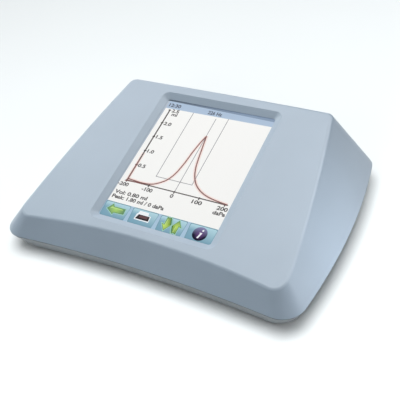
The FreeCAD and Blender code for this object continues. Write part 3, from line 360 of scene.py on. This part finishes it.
def strokes(bm, points, width, n0, n1, place=SCREEN):
    """A line as one quad strip, closed all round."""
    ring = stroke(points, width)
    k = len(points)
    L, R = ring[:k], ring[k:][::-1]
    vl = [(bm.verts.new(at(*L[i], n0, place)), bm.verts.new(at(*L[i], n1, place))) for i in range(k)]
    vr = [(bm.verts.new(at(*R[i], n0, place)), bm.verts.new(at(*R[i], n1, place))) for i in range(k)]
    for i in range(k - 1):
        bm.faces.new((vr[i][1], vr[i + 1][1], vl[i + 1][1], vl[i][1]))
        bm.faces.new((vl[i][0], vl[i + 1][0], vr[i + 1][0], vr[i][0]))
        bm.faces.new((vr[i][0], vr[i + 1][0], vr[i + 1][1], vr[i][1]))
        bm.faces.new((vl[i + 1][0], vl[i][0], vl[i][1], vl[i + 1][1]))
    bm.faces.new((vl[0][0], vr[0][0], vr[0][1], vl[0][1]))
    bm.faces.new((vr[-1][0], vl[-1][0], vl[-1][1], vr[-1][1]))


def smooth_line(points, steps=6):
    """A Catmull-Rom line through the points."""
    p = [Vector(a) for a in points]
    p = [p[0] * 2 - p[1]] + p + [p[-1] * 2 - p[-2]]
    out = []
    for i in range(1, len(p) - 2):
        for s in range(steps):
            t = s / steps
            out.append(0.5 * ((2 * p[i]) + (p[i + 1] - p[i - 1]) * t
                              + (2 * p[i - 1] - 5 * p[i] + 4 * p[i + 1] - p[i + 2]) * t * t
                              + (3 * p[i] - p[i - 1] - 3 * p[i + 1] + p[i + 2]) * t ** 3))
    out.append(p[-2])
    return [(v.x, v.y) for v in out]


# ------------------------------------------------------------------ screen colours
FILM, GLOW = 0.42, 0.52      # how much of a colour the film scatters, and how much it gives off


def lit(key, colour, top=None, bottom=None, q0=0.0, q1=1.0, left=None, cell=None, pixels=0.03, spec=0.3, lift=None,
        spot=None, middle=None):
    """A colour of the lit picture, up the screen from bottom to top, with left mixed in at the left of each cell,
    less so between the heights of lift, and with middle mixed in round a spot. The picture's dots show close up."""
    colour, top, bottom, left, middle = (c and tuple(v * FILM for v in c) for c in (colour, top, bottom, left, middle))
    a = Mat(key, colour, 0.42, Specular_IOR_Level=spec)
    # q runs up the screen from its centre
    off = (Matrix.Rotation(-TILT, 4, "X") @ Vector((0, -MID_Y, CREASE_Z))).y + 73.6 * MM
    v = a.mapped((1, 1, 1), (-TILT, 0, 0))
    # rotate into the plate, so that x runs across and y up the screen
    sep = a.new("ShaderNodeSeparateXYZ")
    a.link(v, sep.inputs["Vector"])
    dots = None
    for axis in ("X", "Y"):
        s = a.new("ShaderNodeMath", operation="MULTIPLY")
        s.inputs[1].default_value = 2 * math.pi / 0.00018
        a.link(sep.outputs[axis], s.inputs[0])
        c = a.new("ShaderNodeMath", operation="COSINE")
        a.link(s.outputs[0], c.inputs[0])
        r = a.span(c.outputs[0], 0.6, 1.0, 0.0, 1.0)
        if dots is None:
            dots = r
        else:
            mx = a.new("ShaderNodeMath", operation="MAXIMUM")
            a.link(dots, mx.inputs[0])
            a.link(r, mx.inputs[1])
            dots = mx.outputs[0]
    if top is not None:
        f = a.span(sep.outputs["Y"], off + q0 * MM, off + q1 * MM, 0.0, 1.0)
        col = a.mix(f, tuple(bottom), tuple(top))
    else:
        col = tuple(colour)
    if left is not None:
        # cell: where the first one starts, their pitch and how far the mix reaches, millimetres
        x0, pitch, reach = (k * MM for k in cell)
        s = a.new("ShaderNodeMath", operation="SUBTRACT")
        s.inputs[1].default_value = x0
        a.link(sep.outputs["X"], s.inputs[0])
        d = a.new("ShaderNodeMath", operation="DIVIDE")
        d.inputs[1].default_value = pitch
        a.link(s.outputs[0], d.inputs[0])
        fr = a.new("ShaderNodeMath", operation="FRACT")
        a.link(d.outputs[0], fr.inputs[0])
        f = a.span(fr.outputs[0], 0.0, reach / pitch, 0.0, 1.0)
        if lift is not None:
            mx = a.new("ShaderNodeMath", operation="MAXIMUM")
            a.link(f, mx.inputs[0])
            a.link(a.span(sep.outputs["Y"], off + lift[0] * MM, off + lift[1] * MM, 0.0, 1.0), mx.inputs[1])
            f = mx.outputs[0]
        col = a.mix(f, left, col)
    if spot is not None:
        # spot: its place and how far it reaches, millimetres
        flat_co = a.new("ShaderNodeCombineXYZ")
        a.link(sep.outputs["X"], flat_co.inputs["X"])
        a.link(sep.outputs["Y"], flat_co.inputs["Y"])
        away = a.new("ShaderNodeVectorMath", operation="DISTANCE")
        a.link(flat_co.outputs[0], away.inputs[0])
        away.inputs[1].default_value = (spot[0] * MM, off + spot[1] * MM, 0.0)
        col = a.mix(a.span(away.outputs["Value"], 0.0, spot[2] * MM, 0.0, 1.0), middle, col)
    dark = a.new("ShaderNodeMix", data_type="RGBA", blend_type="MULTIPLY")
    a.link(a.span(dots, 0.0, 1.0, 0.0, pixels), dark.inputs["Factor"])
    if isinstance(col, tuple):
        dark.inputs[6].default_value = tuple(col) + (1.0,)
    else:
        a.link(col, dark.inputs[6])
    dark.inputs[7].default_value = (0.0, 0.0, 0.0, 1.0)
    a.paint(dark.outputs[2])
    a.link(dark.outputs[2], a.b.inputs["Emission Color"])
    a.b.inputs["Emission Strength"].default_value = GLOW / FILM
    M[key] = a.m
    return a.m


S_TOP = -3.198
lit("pic_white", lin((250, 249, 247)))
lit("pic_header", lin((170, 191, 216)))
lit("pic_margin", lin((178, 190, 204)))
# painted shade: a dark colour for the strip that stands in for the shadow the back bevel casts on the top of the
# screen, darker towards the left
lit("pic_edge_painted_shade", lin((126, 148, 176)), left=lin((78, 92, 108)), cell=(-45.9, 91.9, 70.0))
lit("pic_bar", lin((163, 194, 218)))
lit("pic_ink", lin((62, 58, 60)))
lit("pic_head_ink", lin((44, 52, 74)))
lit("pic_axis", lin((70, 62, 62)))
lit("pic_grey", lin((150, 150, 154)))
lit("pic_curve", lin((120, 60, 56)))
lit("pic_halo", lin((249, 228, 222)))
PITCH, KEY_X = 23.1, -45.3
lit("pic_key", lin((132, 178, 201)), top=lin((176, 214, 226)), bottom=lin((100, 150, 174)), q0=-56.5, q1=-44.0,
    left=lin((108, 158, 182)), cell=(KEY_X, PITCH, 15.0), lift=(-49.5, -45.0))
lit("pic_key_dark", lin((104, 148, 166)))
lit("pic_green_left", lin((72, 128, 84)), spot=(-34.2, -48.4, 7.6), middle=lin((172, 216, 98)))
lit("pic_green_down", lin((66, 118, 52)), spot=(6.4, -51.0, 8.6), middle=lin((196, 228, 92)))
lit("pic_green_up", lin((66, 118, 52)), spot=(16.3, -49.6, 6.4), middle=lin((186, 220, 86)))
lit("pic_green_dark", lin((70, 126, 76)))
lit("pic_green_light", lin((186, 222, 128)))
lit("pic_green_glow", lin((158, 208, 188)))
lit("pic_paper", lin((246, 249, 254)))
lit("pic_brown", lin((98, 62, 66)), spec=0.15)
lit("pic_black", lin((34, 20, 28)), spec=0.12)
lit("pic_disc", lin((30, 26, 84)), top=lin((150, 148, 194)), bottom=lin((4, 2, 40)), q0=-51.6, q1=-44.0,
    spot=(34.6, -50.2, 4.2), middle=lin((114, 76, 138)), spec=0.05)

# ------------------------------------------------------------------ the picture
W, H = 45.9, 56.5
N = [S_TOP + 0.016 * i for i in range(8)]
flat("screen_picture", [[(-44.9, -43.2), (W, -43.2), (W, 48.7), (-43.8, 47.7)]], N[0], N[1], M["pic_white"])
flat("screen_header", [[(-43.8, 47.7), (W, 48.7), (W, 53.4), (-43.7, 55.0)]], N[0], N[1], M["pic_header"])
flat("screen_margin", [[(-W, -43.2), (-44.9, -43.2), (-43.7, 55.0), (-W, 55.0)]], N[0], N[1], M["pic_margin"])
# painted shadow: a dark wedge along the top of the picture, thicker at the right, put where the back bevel shades the
# screen
flat("screen_edge_painted_shadow", [[(-W, 55.0), (W, 53.4), (W, H), (-W, H)]], N[0], N[2], M["pic_edge_painted_shade"])
flat("screen_key_bar", [rect(-W, -H, W, -43.2)], N[0], N[1], M["pic_bar"])
KEYS = [(KEY_X + PITCH * i, KEY_X + PITCH * i + 21.4) for i in range(4)]


def key_shape(x0, q0, x1, q1, r):
    """A key that is a little narrower at its foot. The first one keeps its left side."""
    foot = 0.3 if x0 < -44.0 else 0.9
    return [(x + (foot if x < (x0 + x1) / 2 else -0.5) * (q1 - q) / (q1 - q0), q) for x, q in rounded(x0, q0, x1, q1, r)]


flat("screen_keys_edge", [key_shape(x0 + 0.3, -H + 0.1, x1, -43.2, 1.4) for x0, x1 in KEYS], N[1], N[2], M["pic_key_dark"])
flat("screen_keys", [key_shape(x0 + 0.8, -H + 0.9, x1 - 0.3, -43.9, 1.2) for x0, x1 in KEYS], N[1], N[3], M["pic_key"])

# axes, ticks and the guide lines
bm = bmesh.new()
strokes(bm, [(-39.4, -23.6), (-39.4, 46.8)], 1.15, N[1], N[3])
strokes(bm, [(-40.6, -23.4), (43.2, -23.4)], 0.9, N[1], N[3])
for q in (46.3, 32.9, 19.1, 5.0, -8.8):
    strokes(bm, [(-40.5, q), (-38.3, q)], 1.0, N[1], N[3])
for x in (-39.4, -20.5, 0.8, 20.9, 41.0):
    strokes(bm, [(x, -25.0), (x, -22.6)], 0.9, N[1], N[3])
finish_mesh("screen_axes", bm, M["pic_axis"])
bm = bmesh.new()
strokes(bm, [(-19.2, 47.9), (-19.2, -14.5), (10.6, -14.5), (10.6, 48.2)], 0.55, N[1], N[2])
strokes(bm, [(0.9, -23.0), (0.9, 46.4)], 0.55, N[1], N[2])
finish_mesh("screen_guides", bm, M["pic_grey"])

CURVE = [(-39.4, -21.9), (-32.0, -22.5), (-26.0, -22.7), (-20.7, -22.2), (-16.8, -20.9), (-12.9, -18.4), (-10.0, -15.8),
         (-7.7, -12.4), (-5.9, -8.0), (-4.6, -2.6), (-3.5, 3.6), (-2.7, 10.6), (-1.7, 17.0), (-0.5, 23.2), (1.1, 29.2)]
FALL = [(1.1, 29.2), (2.0, 23.6), (3.0, 17.8), (4.0, 12.0), (5.0, 6.4), (6.2, 0.9), (8.0, -4.4), (10.5, -9.4),
        (13.8, -13.7), (17.9, -17.0), (22.0, -19.2), (26.6, -20.8), (32.0, -21.9), (37.2, -22.6), (42.6, -23.1)]
bm = bmesh.new()
for pts in (CURVE, FALL):
    strokes(bm, smooth_line(pts), 2.8, N[1], N[1] + 0.006)
strokes(bm, [(-39.4, -23.0), (-39.4, 3.0)], 2.8, N[1], N[1] + 0.006)
finish_mesh("screen_curve_glow", bm, M["pic_halo"])
bm = bmesh.new()
for pts in (CURVE, FALL):
    strokes(bm, smooth_line(pts), 0.88, N[1], N[4])
strokes(bm, [(-39.4, -23.2), (-39.4, -4.0)], 0.8, N[1], N[4])
strokes(bm, [(-41.0, -24.0), (-36.0, -23.7), (-30.0, -23.3), (-24.0, -22.9)], 0.7, N[1], N[4])
finish_mesh("screen_curve", bm, M["pic_curve"])


# lettering of the picture: numbers, units and plain readings
def glyphs(text, bold=0.0):
    """The letters as a closed mesh of unit thickness, with their baseline on y = 0."""
    cu = bpy.data.curves.new("text", "FONT")
    cu.body = text
    cu.offset = bold
    cu.extrude = 0.5
    cu.resolution_u = 4
    ob = bpy.data.objects.new("text", cu)
    bpy.context.scene.collection.objects.link(ob)
    bpy.context.view_layer.update()
    me = bpy.data.meshes.new_from_object(ob.evaluated_get(bpy.context.evaluated_depsgraph_get()))
    bpy.data.objects.remove(ob)
    bpy.data.curves.remove(cu)
    return me


me = glyphs("H")
CAP = max(v.co.y for v in me.vertices)
bpy.data.meshes.remove(me)


def words(name, items, material, n0, n1, place=SCREEN):
    """items: text, x, q, capital height, width (millimetres), alignment, boldness."""
    bm = bmesh.new()
    for text, x, q, height, width, align, bold in items:
        me = glyphs(text, bold)
        lo, hi = min(v.co.x for v in me.vertices), max(v.co.x for v in me.vertices)
        s = height / CAP
        sx = width / (hi - lo) if width else s
        x0 = x - lo * sx if align == "LEFT" else x - (lo + hi) / 2 * sx
        me.transform(Matrix.Translation((x0, q - height / 2, (n0 + n1) / 2)) @ Matrix.Diagonal((sx, s, n1 - n0, 1)))
        me.transform(place)
        bm.from_mesh(me)
        bpy.data.meshes.remove(me)
    bmesh.ops.remove_doubles(bm, verts=bm.verts, dist=1e-7)
    bmesh.ops.recalc_face_normals(bm, faces=bm.faces)
    return finish_mesh(name, bm, material)


T = 2.9
words("screen_numbers", [
    ("2.5", -37.4, 46.0, T, 6.4, "LEFT", 0.03), ("ml", -35.8, 42.6, T, 4.8, "LEFT", 0.03),
    ("2.0", -37.6, 32.9, T, 6.4, "LEFT", 0.03), ("1.5", -37.3, 19.3, T, 5.6, "LEFT", 0.03),
    ("1.0", -37.4, 5.2, T, 5.6, "LEFT", 0.03), ("0.5", -37.9, -8.7, T, 6.4, "LEFT", 0.03),
    ("-200", -40.5, -27.1, T, 9.0, "CENTER", 0.03), ("-100", -20.0, -27.1, T, 8.8, "CENTER", 0.03),
    ("0", 0.5, -27.1, T, 2.6, "CENTER", 0.03), ("100", 20.8, -27.1, T, 7.8, "CENTER", 0.03),
    ("200", 40.6, -27.1, T, 8.2, "CENTER", 0.03), ("daPa", 40.0, -31.2, T, 9.6, "CENTER", 0.03),
], M["pic_ink"], N[1], N[4])
words("screen_readings", [
    ("Vol: 0.80 ml", -43.4, -34.3, T, 27.4, "LEFT", 0.03),
    ("Peak: 1.80 ml / 0 daPa", -43.4, -38.5, T, 43.6, "LEFT", 0.03),
], M["pic_ink"], N[1], N[4])
words("screen_clock", [
    ("12:30", -42.4, 51.2, 3.0, 10.4, "LEFT", 0.025), ("226 Hz", -8.0, 51.0, 3.0, 11.8, "LEFT", 0.02),
], M["pic_head_ink"], N[1], N[4])


# key signs
def arrow(cx, cq, length, width, shaft, turn, head=0.44):
    """A block arrow that points along +x, turned by turn degrees. Its barbs sweep back a little."""
    h = length * head
    b = length * 0.05
    pts = [(-length / 2 + b, 0), (-length / 2, -shaft / 2), (length / 2 - h, -shaft / 2), (length / 2 - h - b, -width / 2),
           (length / 2, 0), (length / 2 - h - b, width / 2), (length / 2 - h, shaft / 2), (-length / 2, shaft / 2)]
    c, s = math.cos(math.radians(turn)), math.sin(math.radians(turn))
    return [(cx + x * c - q * s, cq + x * s + q * c) for x, q in pts]


def rim(outline, inset):
    """The outline moved inward by inset."""
    n = len(outline)
    area2 = sum(outline[i - 1][0] * outline[i][1] - outline[i][0] * outline[i - 1][1] for i in range(n))
    out = []
    for i in range(n):
        p, a, b = Vector(outline[i]), Vector(outline[i - 1]), Vector(outline[(i + 1) % n])
        u, v = (p - a).normalized(), (b - p).normalized()
        k = inset if area2 > 0 else -inset
        nu, nv = Vector((-u.y, u.x)), Vector((-v.y, v.x))
        m = nu + nv
        m = m / max(0.35, m.length_squared / 2)
        out.append(tuple(p + m * k))
    return out


ARROWS = [[(-41.6, -49.6), (-35.2, -53.4), (-34.6, -51.9), (-26.6, -51.5), (-26.9, -47.0), (-36.6, -47.0), (-38.2, -44.9)],
          arrow(8.0, -49.2, 11.2, 7.6, 3.2, -90), arrow(16.2, -49.8, 11.2, 7.4, 3.2, 90)]
flat("screen_arrows_glow", [rim(a, -0.55) for a in ARROWS], N[2], N[3] + 0.008, M["pic_green_glow"])
flat("screen_arrows_edge", ARROWS, N[2], N[4], M["pic_green_dark"])
for name, outline in zip(("left", "down", "up"), ARROWS):
    flat("screen_arrow_" + name, [rim(outline, 0.42)], N[3], N[5], M["pic_green_" + name])
flat("screen_arrows_shine", [
    [(-39.2, -49.2), (-38.0, -47.2), (-37.0, -47.8), (-28.8, -47.9), (-28.9, -48.5), (-37.4, -48.6)],
    rect(7.1, -50.4, 7.6, -45.4), rect(15.2, -54.2, 15.7, -49.4),
], N[4], N[6], M["pic_green_light"])
flat("screen_print_paper", [
    [(-16.7, -48.2), (-7.6, -48.2), (-8.4, -44.9), (-15.8, -44.9)],
    [(-17.4, -52.4), (-5.3, -52.4), (-5.6, -47.4), (-17.1, -47.4)],
], N[2], N[4], M["pic_paper"])
flat("screen_print_body", [[(-16.7, -51.6), (-5.9, -51.6), (-6.3, -47.8), (-15.4, -47.8)]], N[3], N[5], M["pic_black"])
flat("screen_print_front", [[(-14.4, -50.2), (-7.4, -50.2), (-7.6, -48.3), (-14.0, -48.3)]], N[4], N[6], M["pic_brown"])
DISC = (34.4, -49.9, 5.4)
ring = [(DISC[0] + DISC[2] * math.cos(math.radians(7.5 * i)), DISC[1] + DISC[2] * math.sin(math.radians(7.5 * i))) for i in range(48)]
flat("screen_info_disc", [ring], N[2], N[4], M["pic_disc"])
bm = bmesh.new()
for line in ([(35.7 + 0.72 * math.cos(math.radians(30 * i)), -47.0 + 0.72 * math.sin(math.radians(30 * i))) for i in range(12)],
             [(33.3, -53.4), (34.6, -53.4), (36.0, -48.9), (33.9, -48.9), (34.0, -49.5), (34.5, -49.6)]):
    slab(bm, line, N[3], N[5])
finish_mesh("screen_info_sign", bm, M["pic_paper"])

# ------------------------------------------------------------------ marks printed on the back
# x runs to the left as seen from the front, q up, n out of the rear panel's face
REAR = Matrix.Translation((0, FACE, 0)) @ Matrix(((-1, 0, 0, 0), (0, 0, 1, 0), (0, 1, 0, 0), (0, 0, 0, 1))) \
    @ Matrix.Diagonal((MM, MM, MM, 1))


def printed(key, colour):
    """Screen-printed ink: fine speckle and thin spots that follow the grain under it."""
    a = Mat(key, colour, 0.5, Specular_IOR_Level=0.4)
    thin = a.span(a.noise(2400.0, 3.0, 0.65), 0.30, 0.48, 0.55, 1.0)
    a.paint(a.mix(thin, tuple(v * 0.55 for v in colour), tuple(colour)))
    a.bump(a.noise(3200.0, 2.0, 0.6), 0.3, 0.00002)
    M[key] = a.m


def circle(bm, x, q, r0, r1, n0, n1, place, steps=64):
    """A flat ring."""
    rows = []
    for r, n in ((r0, n0), (r1, n0), (r1, n1), (r0, n1)):
        rows.append([bm.verts.new(at(x + r * math.cos(2 * math.pi * i / steps), q + r * math.sin(2 * math.pi * i / steps), n, place))
                     for i in range(steps)])
    for k in range(4):
        a, b = rows[k], rows[(k + 1) % 4]
        for i in range(steps):
            j = (i + 1) % steps
            bm.faces.new((a[i], b[i], b[j], a[j])[::-1])


printed("mark_red", lin((196, 52, 44)))
printed("mark_blue", lin((58, 112, 196)))
printed("mark_white", lin((206, 212, 216)))
for name, x, colour in (("left", 8.0, "mark_blue"), ("right", 28.0, "mark_red")):
    bm = bmesh.new()
    circle(bm, -x, AXIS_Z / MM, 7.1, 8.1, 0.0, 0.05, REAR)
    finish_mesh("phone_ring_" + name, bm, M[colour])
bm = bmesh.new()
arc = [(66.0 + 2.0 * math.sin(math.radians(t)), AXIS_Z / MM - 0.2 + 2.0 * math.cos(math.radians(t))) for t in range(40, 321, 14)]
strokes(bm, arc, 0.45, 2.24, 2.44, REAR)
strokes(bm, [(66.0, AXIS_Z / MM + 0.2), (66.0, AXIS_Z / MM + 2.5)], 0.45, 2.24, 2.44, REAR)
finish_mesh("power_sign", bm, M["mark_white"], "power_button_body")


# ------------------------------------------------------------------ the button's spring
def spring(name, node, wire, closed=1.0, middle=3.6, per_turn=32, sides=12):
    """A compression spring along Y in the space of its node, with its end turns wound close."""
    lo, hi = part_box(node)
    cx, cz = (lo[0] + hi[0]) / 2, (lo[2] + hi[2]) / 2
    r = (hi[0] - lo[0]) / 2 - wire
    y0, length = lo[1] + wire, hi[1] - lo[1] - 2 * wire
    turns = closed * 2 + middle
    close_rise = 2.15 * wire * closed
    bm = bmesh.new()
    rows = []
    steps = int(turns * per_turn)
    for i in range(steps + 1):
        t = turns * i / steps
        if t < closed:
            h = close_rise * t / closed
        elif t > turns - closed:
            h = length - close_rise * (turns - t) / closed
        else:
            # eased, so that the wire bends smoothly out of the close turns
            u = (t - closed) / middle
            h = close_rise + (length - 2 * close_rise) * (u - 0.06 * math.sin(2 * math.pi * u))
        a = 2 * math.pi * t
        rows.append((a, Vector((cx + r * math.cos(a), y0 + h, cz + r * math.sin(a)))))
    rings = []
    for i, (a, p) in enumerate(rows):
        tangent = (rows[min(i + 1, steps)][1] - rows[max(i - 1, 0)][1]).normalized()
        out = Vector((math.cos(a), 0.0, math.sin(a)))
        side = tangent.cross(out).normalized()
        out = side.cross(tangent).normalized()
        rings.append([bm.verts.new(p + wire * (math.cos(2 * math.pi * k / sides) * out + math.sin(2 * math.pi * k / sides) * side))
                      for k in range(sides)])
    for a, b in zip(rings, rings[1:]):
        for k in range(sides):
            j = (k + 1) % sides
            bm.faces.new((a[k], a[j], b[j], b[k]))
    bm.faces.new(rings[0])
    bm.faces.new(rings[-1][::-1])
    bmesh.ops.recalc_face_normals(bm, faces=bm.faces)
    o = finish_mesh(name, bm, M["steel"], smooth=True)
    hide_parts(node)
    return o, lo, hi


coil, lo, hi = spring("button_coil", "button_spring", 0.24 * MM)
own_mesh(coil)

# ------------------------------------------------------------------ floor, lights, world
bm = bmesh.new()
bmesh.ops.create_grid(bm, x_segments=8, y_segments=8, size=2.2)
me = bpy.data.meshes.new("floor")
bm.to_mesh(me)
bm.free()
floor = bpy.data.objects.new("floor", me)
bpy.context.scene.collection.objects.link(floor)
a = Mat("floor_pale", (0.81, 0.855, 0.865), 0.8, Specular_IOR_Level=0.1)
a.shade(0.01, 3.0)
# the floor fades into the backdrop away from the middle
far = a.new("ShaderNodeVectorMath", operation="LENGTH")
a.link(a.co.outputs["Object"], far.inputs[0])
a.link(a.span(far.outputs["Value"], 0.50, 1.15, 1.0, 0.0), a.b.inputs["Alpha"])
floor.data.materials.append(a.m)
floor.location.z = -0.0001

# a pale sweep all round, which only closes the view and throws no light
bm = bmesh.new()
profile = [(0.0, -0.02), (1.0, -0.02), (2.4, -0.02)]
profile += [(2.4 + 1.6 * math.sin(math.radians(10 * i)), 1.58 - 1.6 * math.cos(math.radians(10 * i))) for i in range(1, 10)]
profile += [(4.0, 3.0), (3.4, 4.2), (2.0, 5.0), (0.0, 5.3)]
rings = []
for r, z in profile:
    if r == 0.0:
        rings.append([bm.verts.new((0, 0, z))])
    else:
        rings.append([bm.verts.new((r * math.cos(math.radians(7.5 * i)), r * math.sin(math.radians(7.5 * i)), z)) for i in range(48)])
for lo, hi in zip(rings, rings[1:]):
    for i in range(48):
        j = (i + 1) % 48
        if len(lo) == 1:
            bm.faces.new((lo[0], hi[i], hi[j]))
        elif len(hi) == 1:
            bm.faces.new((lo[i], lo[j], hi[0]))
        else:
            bm.faces.new((lo[i], lo[j], hi[j], hi[i]))
me = bpy.data.meshes.new("backdrop")
bm.to_mesh(me)
bm.free()
for p in me.polygons:
    p.use_smooth = True
backdrop = bpy.data.objects.new("backdrop", me)
bpy.context.scene.collection.objects.link(backdrop)
a = Mat("backdrop_pale", (0.8, 0.8, 0.8), 0.9, Specular_IOR_Level=0.0)
glow = a.mix(a.span(a.noise(0.6, 1.0), 0.3, 0.7, 0.0, 1.0), (0.93, 0.955, 0.965), (0.95, 0.97, 0.975))
a.paint(a.mix(a.span(a.noise(0.6, 1.0), 0.3, 0.7, 0.0, 1.0), (0.0, 0.0, 0.0), (0.002, 0.002, 0.002)))
a.link(glow, a.b.inputs["Emission Color"])
a.b.inputs["Emission Strength"].default_value = 1.0
backdrop.data.materials.append(a.m)
for flag in ("visible_diffuse", "visible_glossy", "visible_transmission", "visible_volume_scatter", "visible_shadow"):
    setattr(backdrop, flag, False)

no_floor = bpy.data.collections.new("small_lights_leave_out")
no_floor.objects.link(floor)
no_floor.collection_objects[0].light_linking.link_state = "EXCLUDE"
only_floor = bpy.data.collections.new("floor_lights_reach")
only_floor.objects.link(floor)


def area(name, pos, target, size, power, colour=(1, 1, 1), reach=None):
    """A soft light. A small one close by leaves out the floor, and a floor light reaches only the floor."""
    l = bpy.data.lights.new(name, "AREA")
    l.shape = "RECTANGLE"
    l.size, l.size_y = size if isinstance(size, tuple) else (size, size)
    l.energy = power
    l.color = colour
    o = bpy.data.objects.new(name, l)
    bpy.context.scene.collection.objects.link(o)
    o.location = pos
    o.rotation_mode = "QUATERNION"
    o.rotation_quaternion = (Vector(target) - Vector(pos)).to_track_quat("-Z", "Y")
    o.visible_camera = False
    if reach is not None:
        o.light_linking.receiver_collection = reach
    return o


area("light_top", (-0.2, 0.2, 1.3), (0, 0, 0), 1.2, 14.5, (0.98, 1.0, 1.0), reach=no_floor)
area("light_top_back", (0.0, 0.7, 1.2), (0, 0, 0), 0.9, 1.6, (0.97, 0.99, 1.0))
area("light_back_left", (-0.9, 0.9, 0.9), (0, 0, 0), 1.0, 5.4, (1.0, 0.92, 0.92), reach=no_floor)
area("light_left", (-1.3, 0.1, 0.8), (0, 0, 0), 1.0, 7.4, (0.93, 1.0, 0.98), reach=no_floor)
area("light_rim", (0.65, 0.58, 1.0), (0.09, 0, 0.04), 0.2, 0.6, (0.94, 0.98, 1.0))
# a glint along the right-hand edge, with no part in the diffuse light
glint = area("light_glint", (0.65, 0.58, 1.0), (0.09, 0, 0.04), 0.7, 8.0, (0.94, 0.98, 1.0), reach=no_floor)
glint.visible_diffuse = False
# a small soft light low at the right gives that side its brighter front half, and no mirror image on the plate
side_low = area("light_side_low", (0.20, -0.025, 0.06), (0.11, -0.025, 0.02), 0.07, 0.073, reach=no_floor)
side_low.visible_glossy = False
# the floor's own lights keep it pale up to the object's front edge
area("light_floor", (0.12, -0.3, 2.0), (0.02, -0.02, 0), 1.5, 50.0, (0.99, 0.98, 0.98), reach=only_floor)
area("light_floor_front", (0.05, -0.9, 0.5), (0.05, -0.1, 0), 0.5, 2.6, (1.0, 0.97, 0.97), reach=only_floor)
area("light_floor_right", (0.9, 0.0, 0.5), (0.1, 0, 0), 0.5, 1.4, (1.0, 0.97, 0.97), reach=only_floor)
world = bpy.data.worlds.new("studio")
bpy.context.scene.world = world
world.use_nodes = True
bg = world.node_tree.nodes["Background"]
bg.inputs["Color"].default_value = (0.80, 0.95, 1.0, 1.0)
bg.inputs["Strength"].default_value = 0.02
bpy.context.scene.view_settings.view_transform = "Standard"
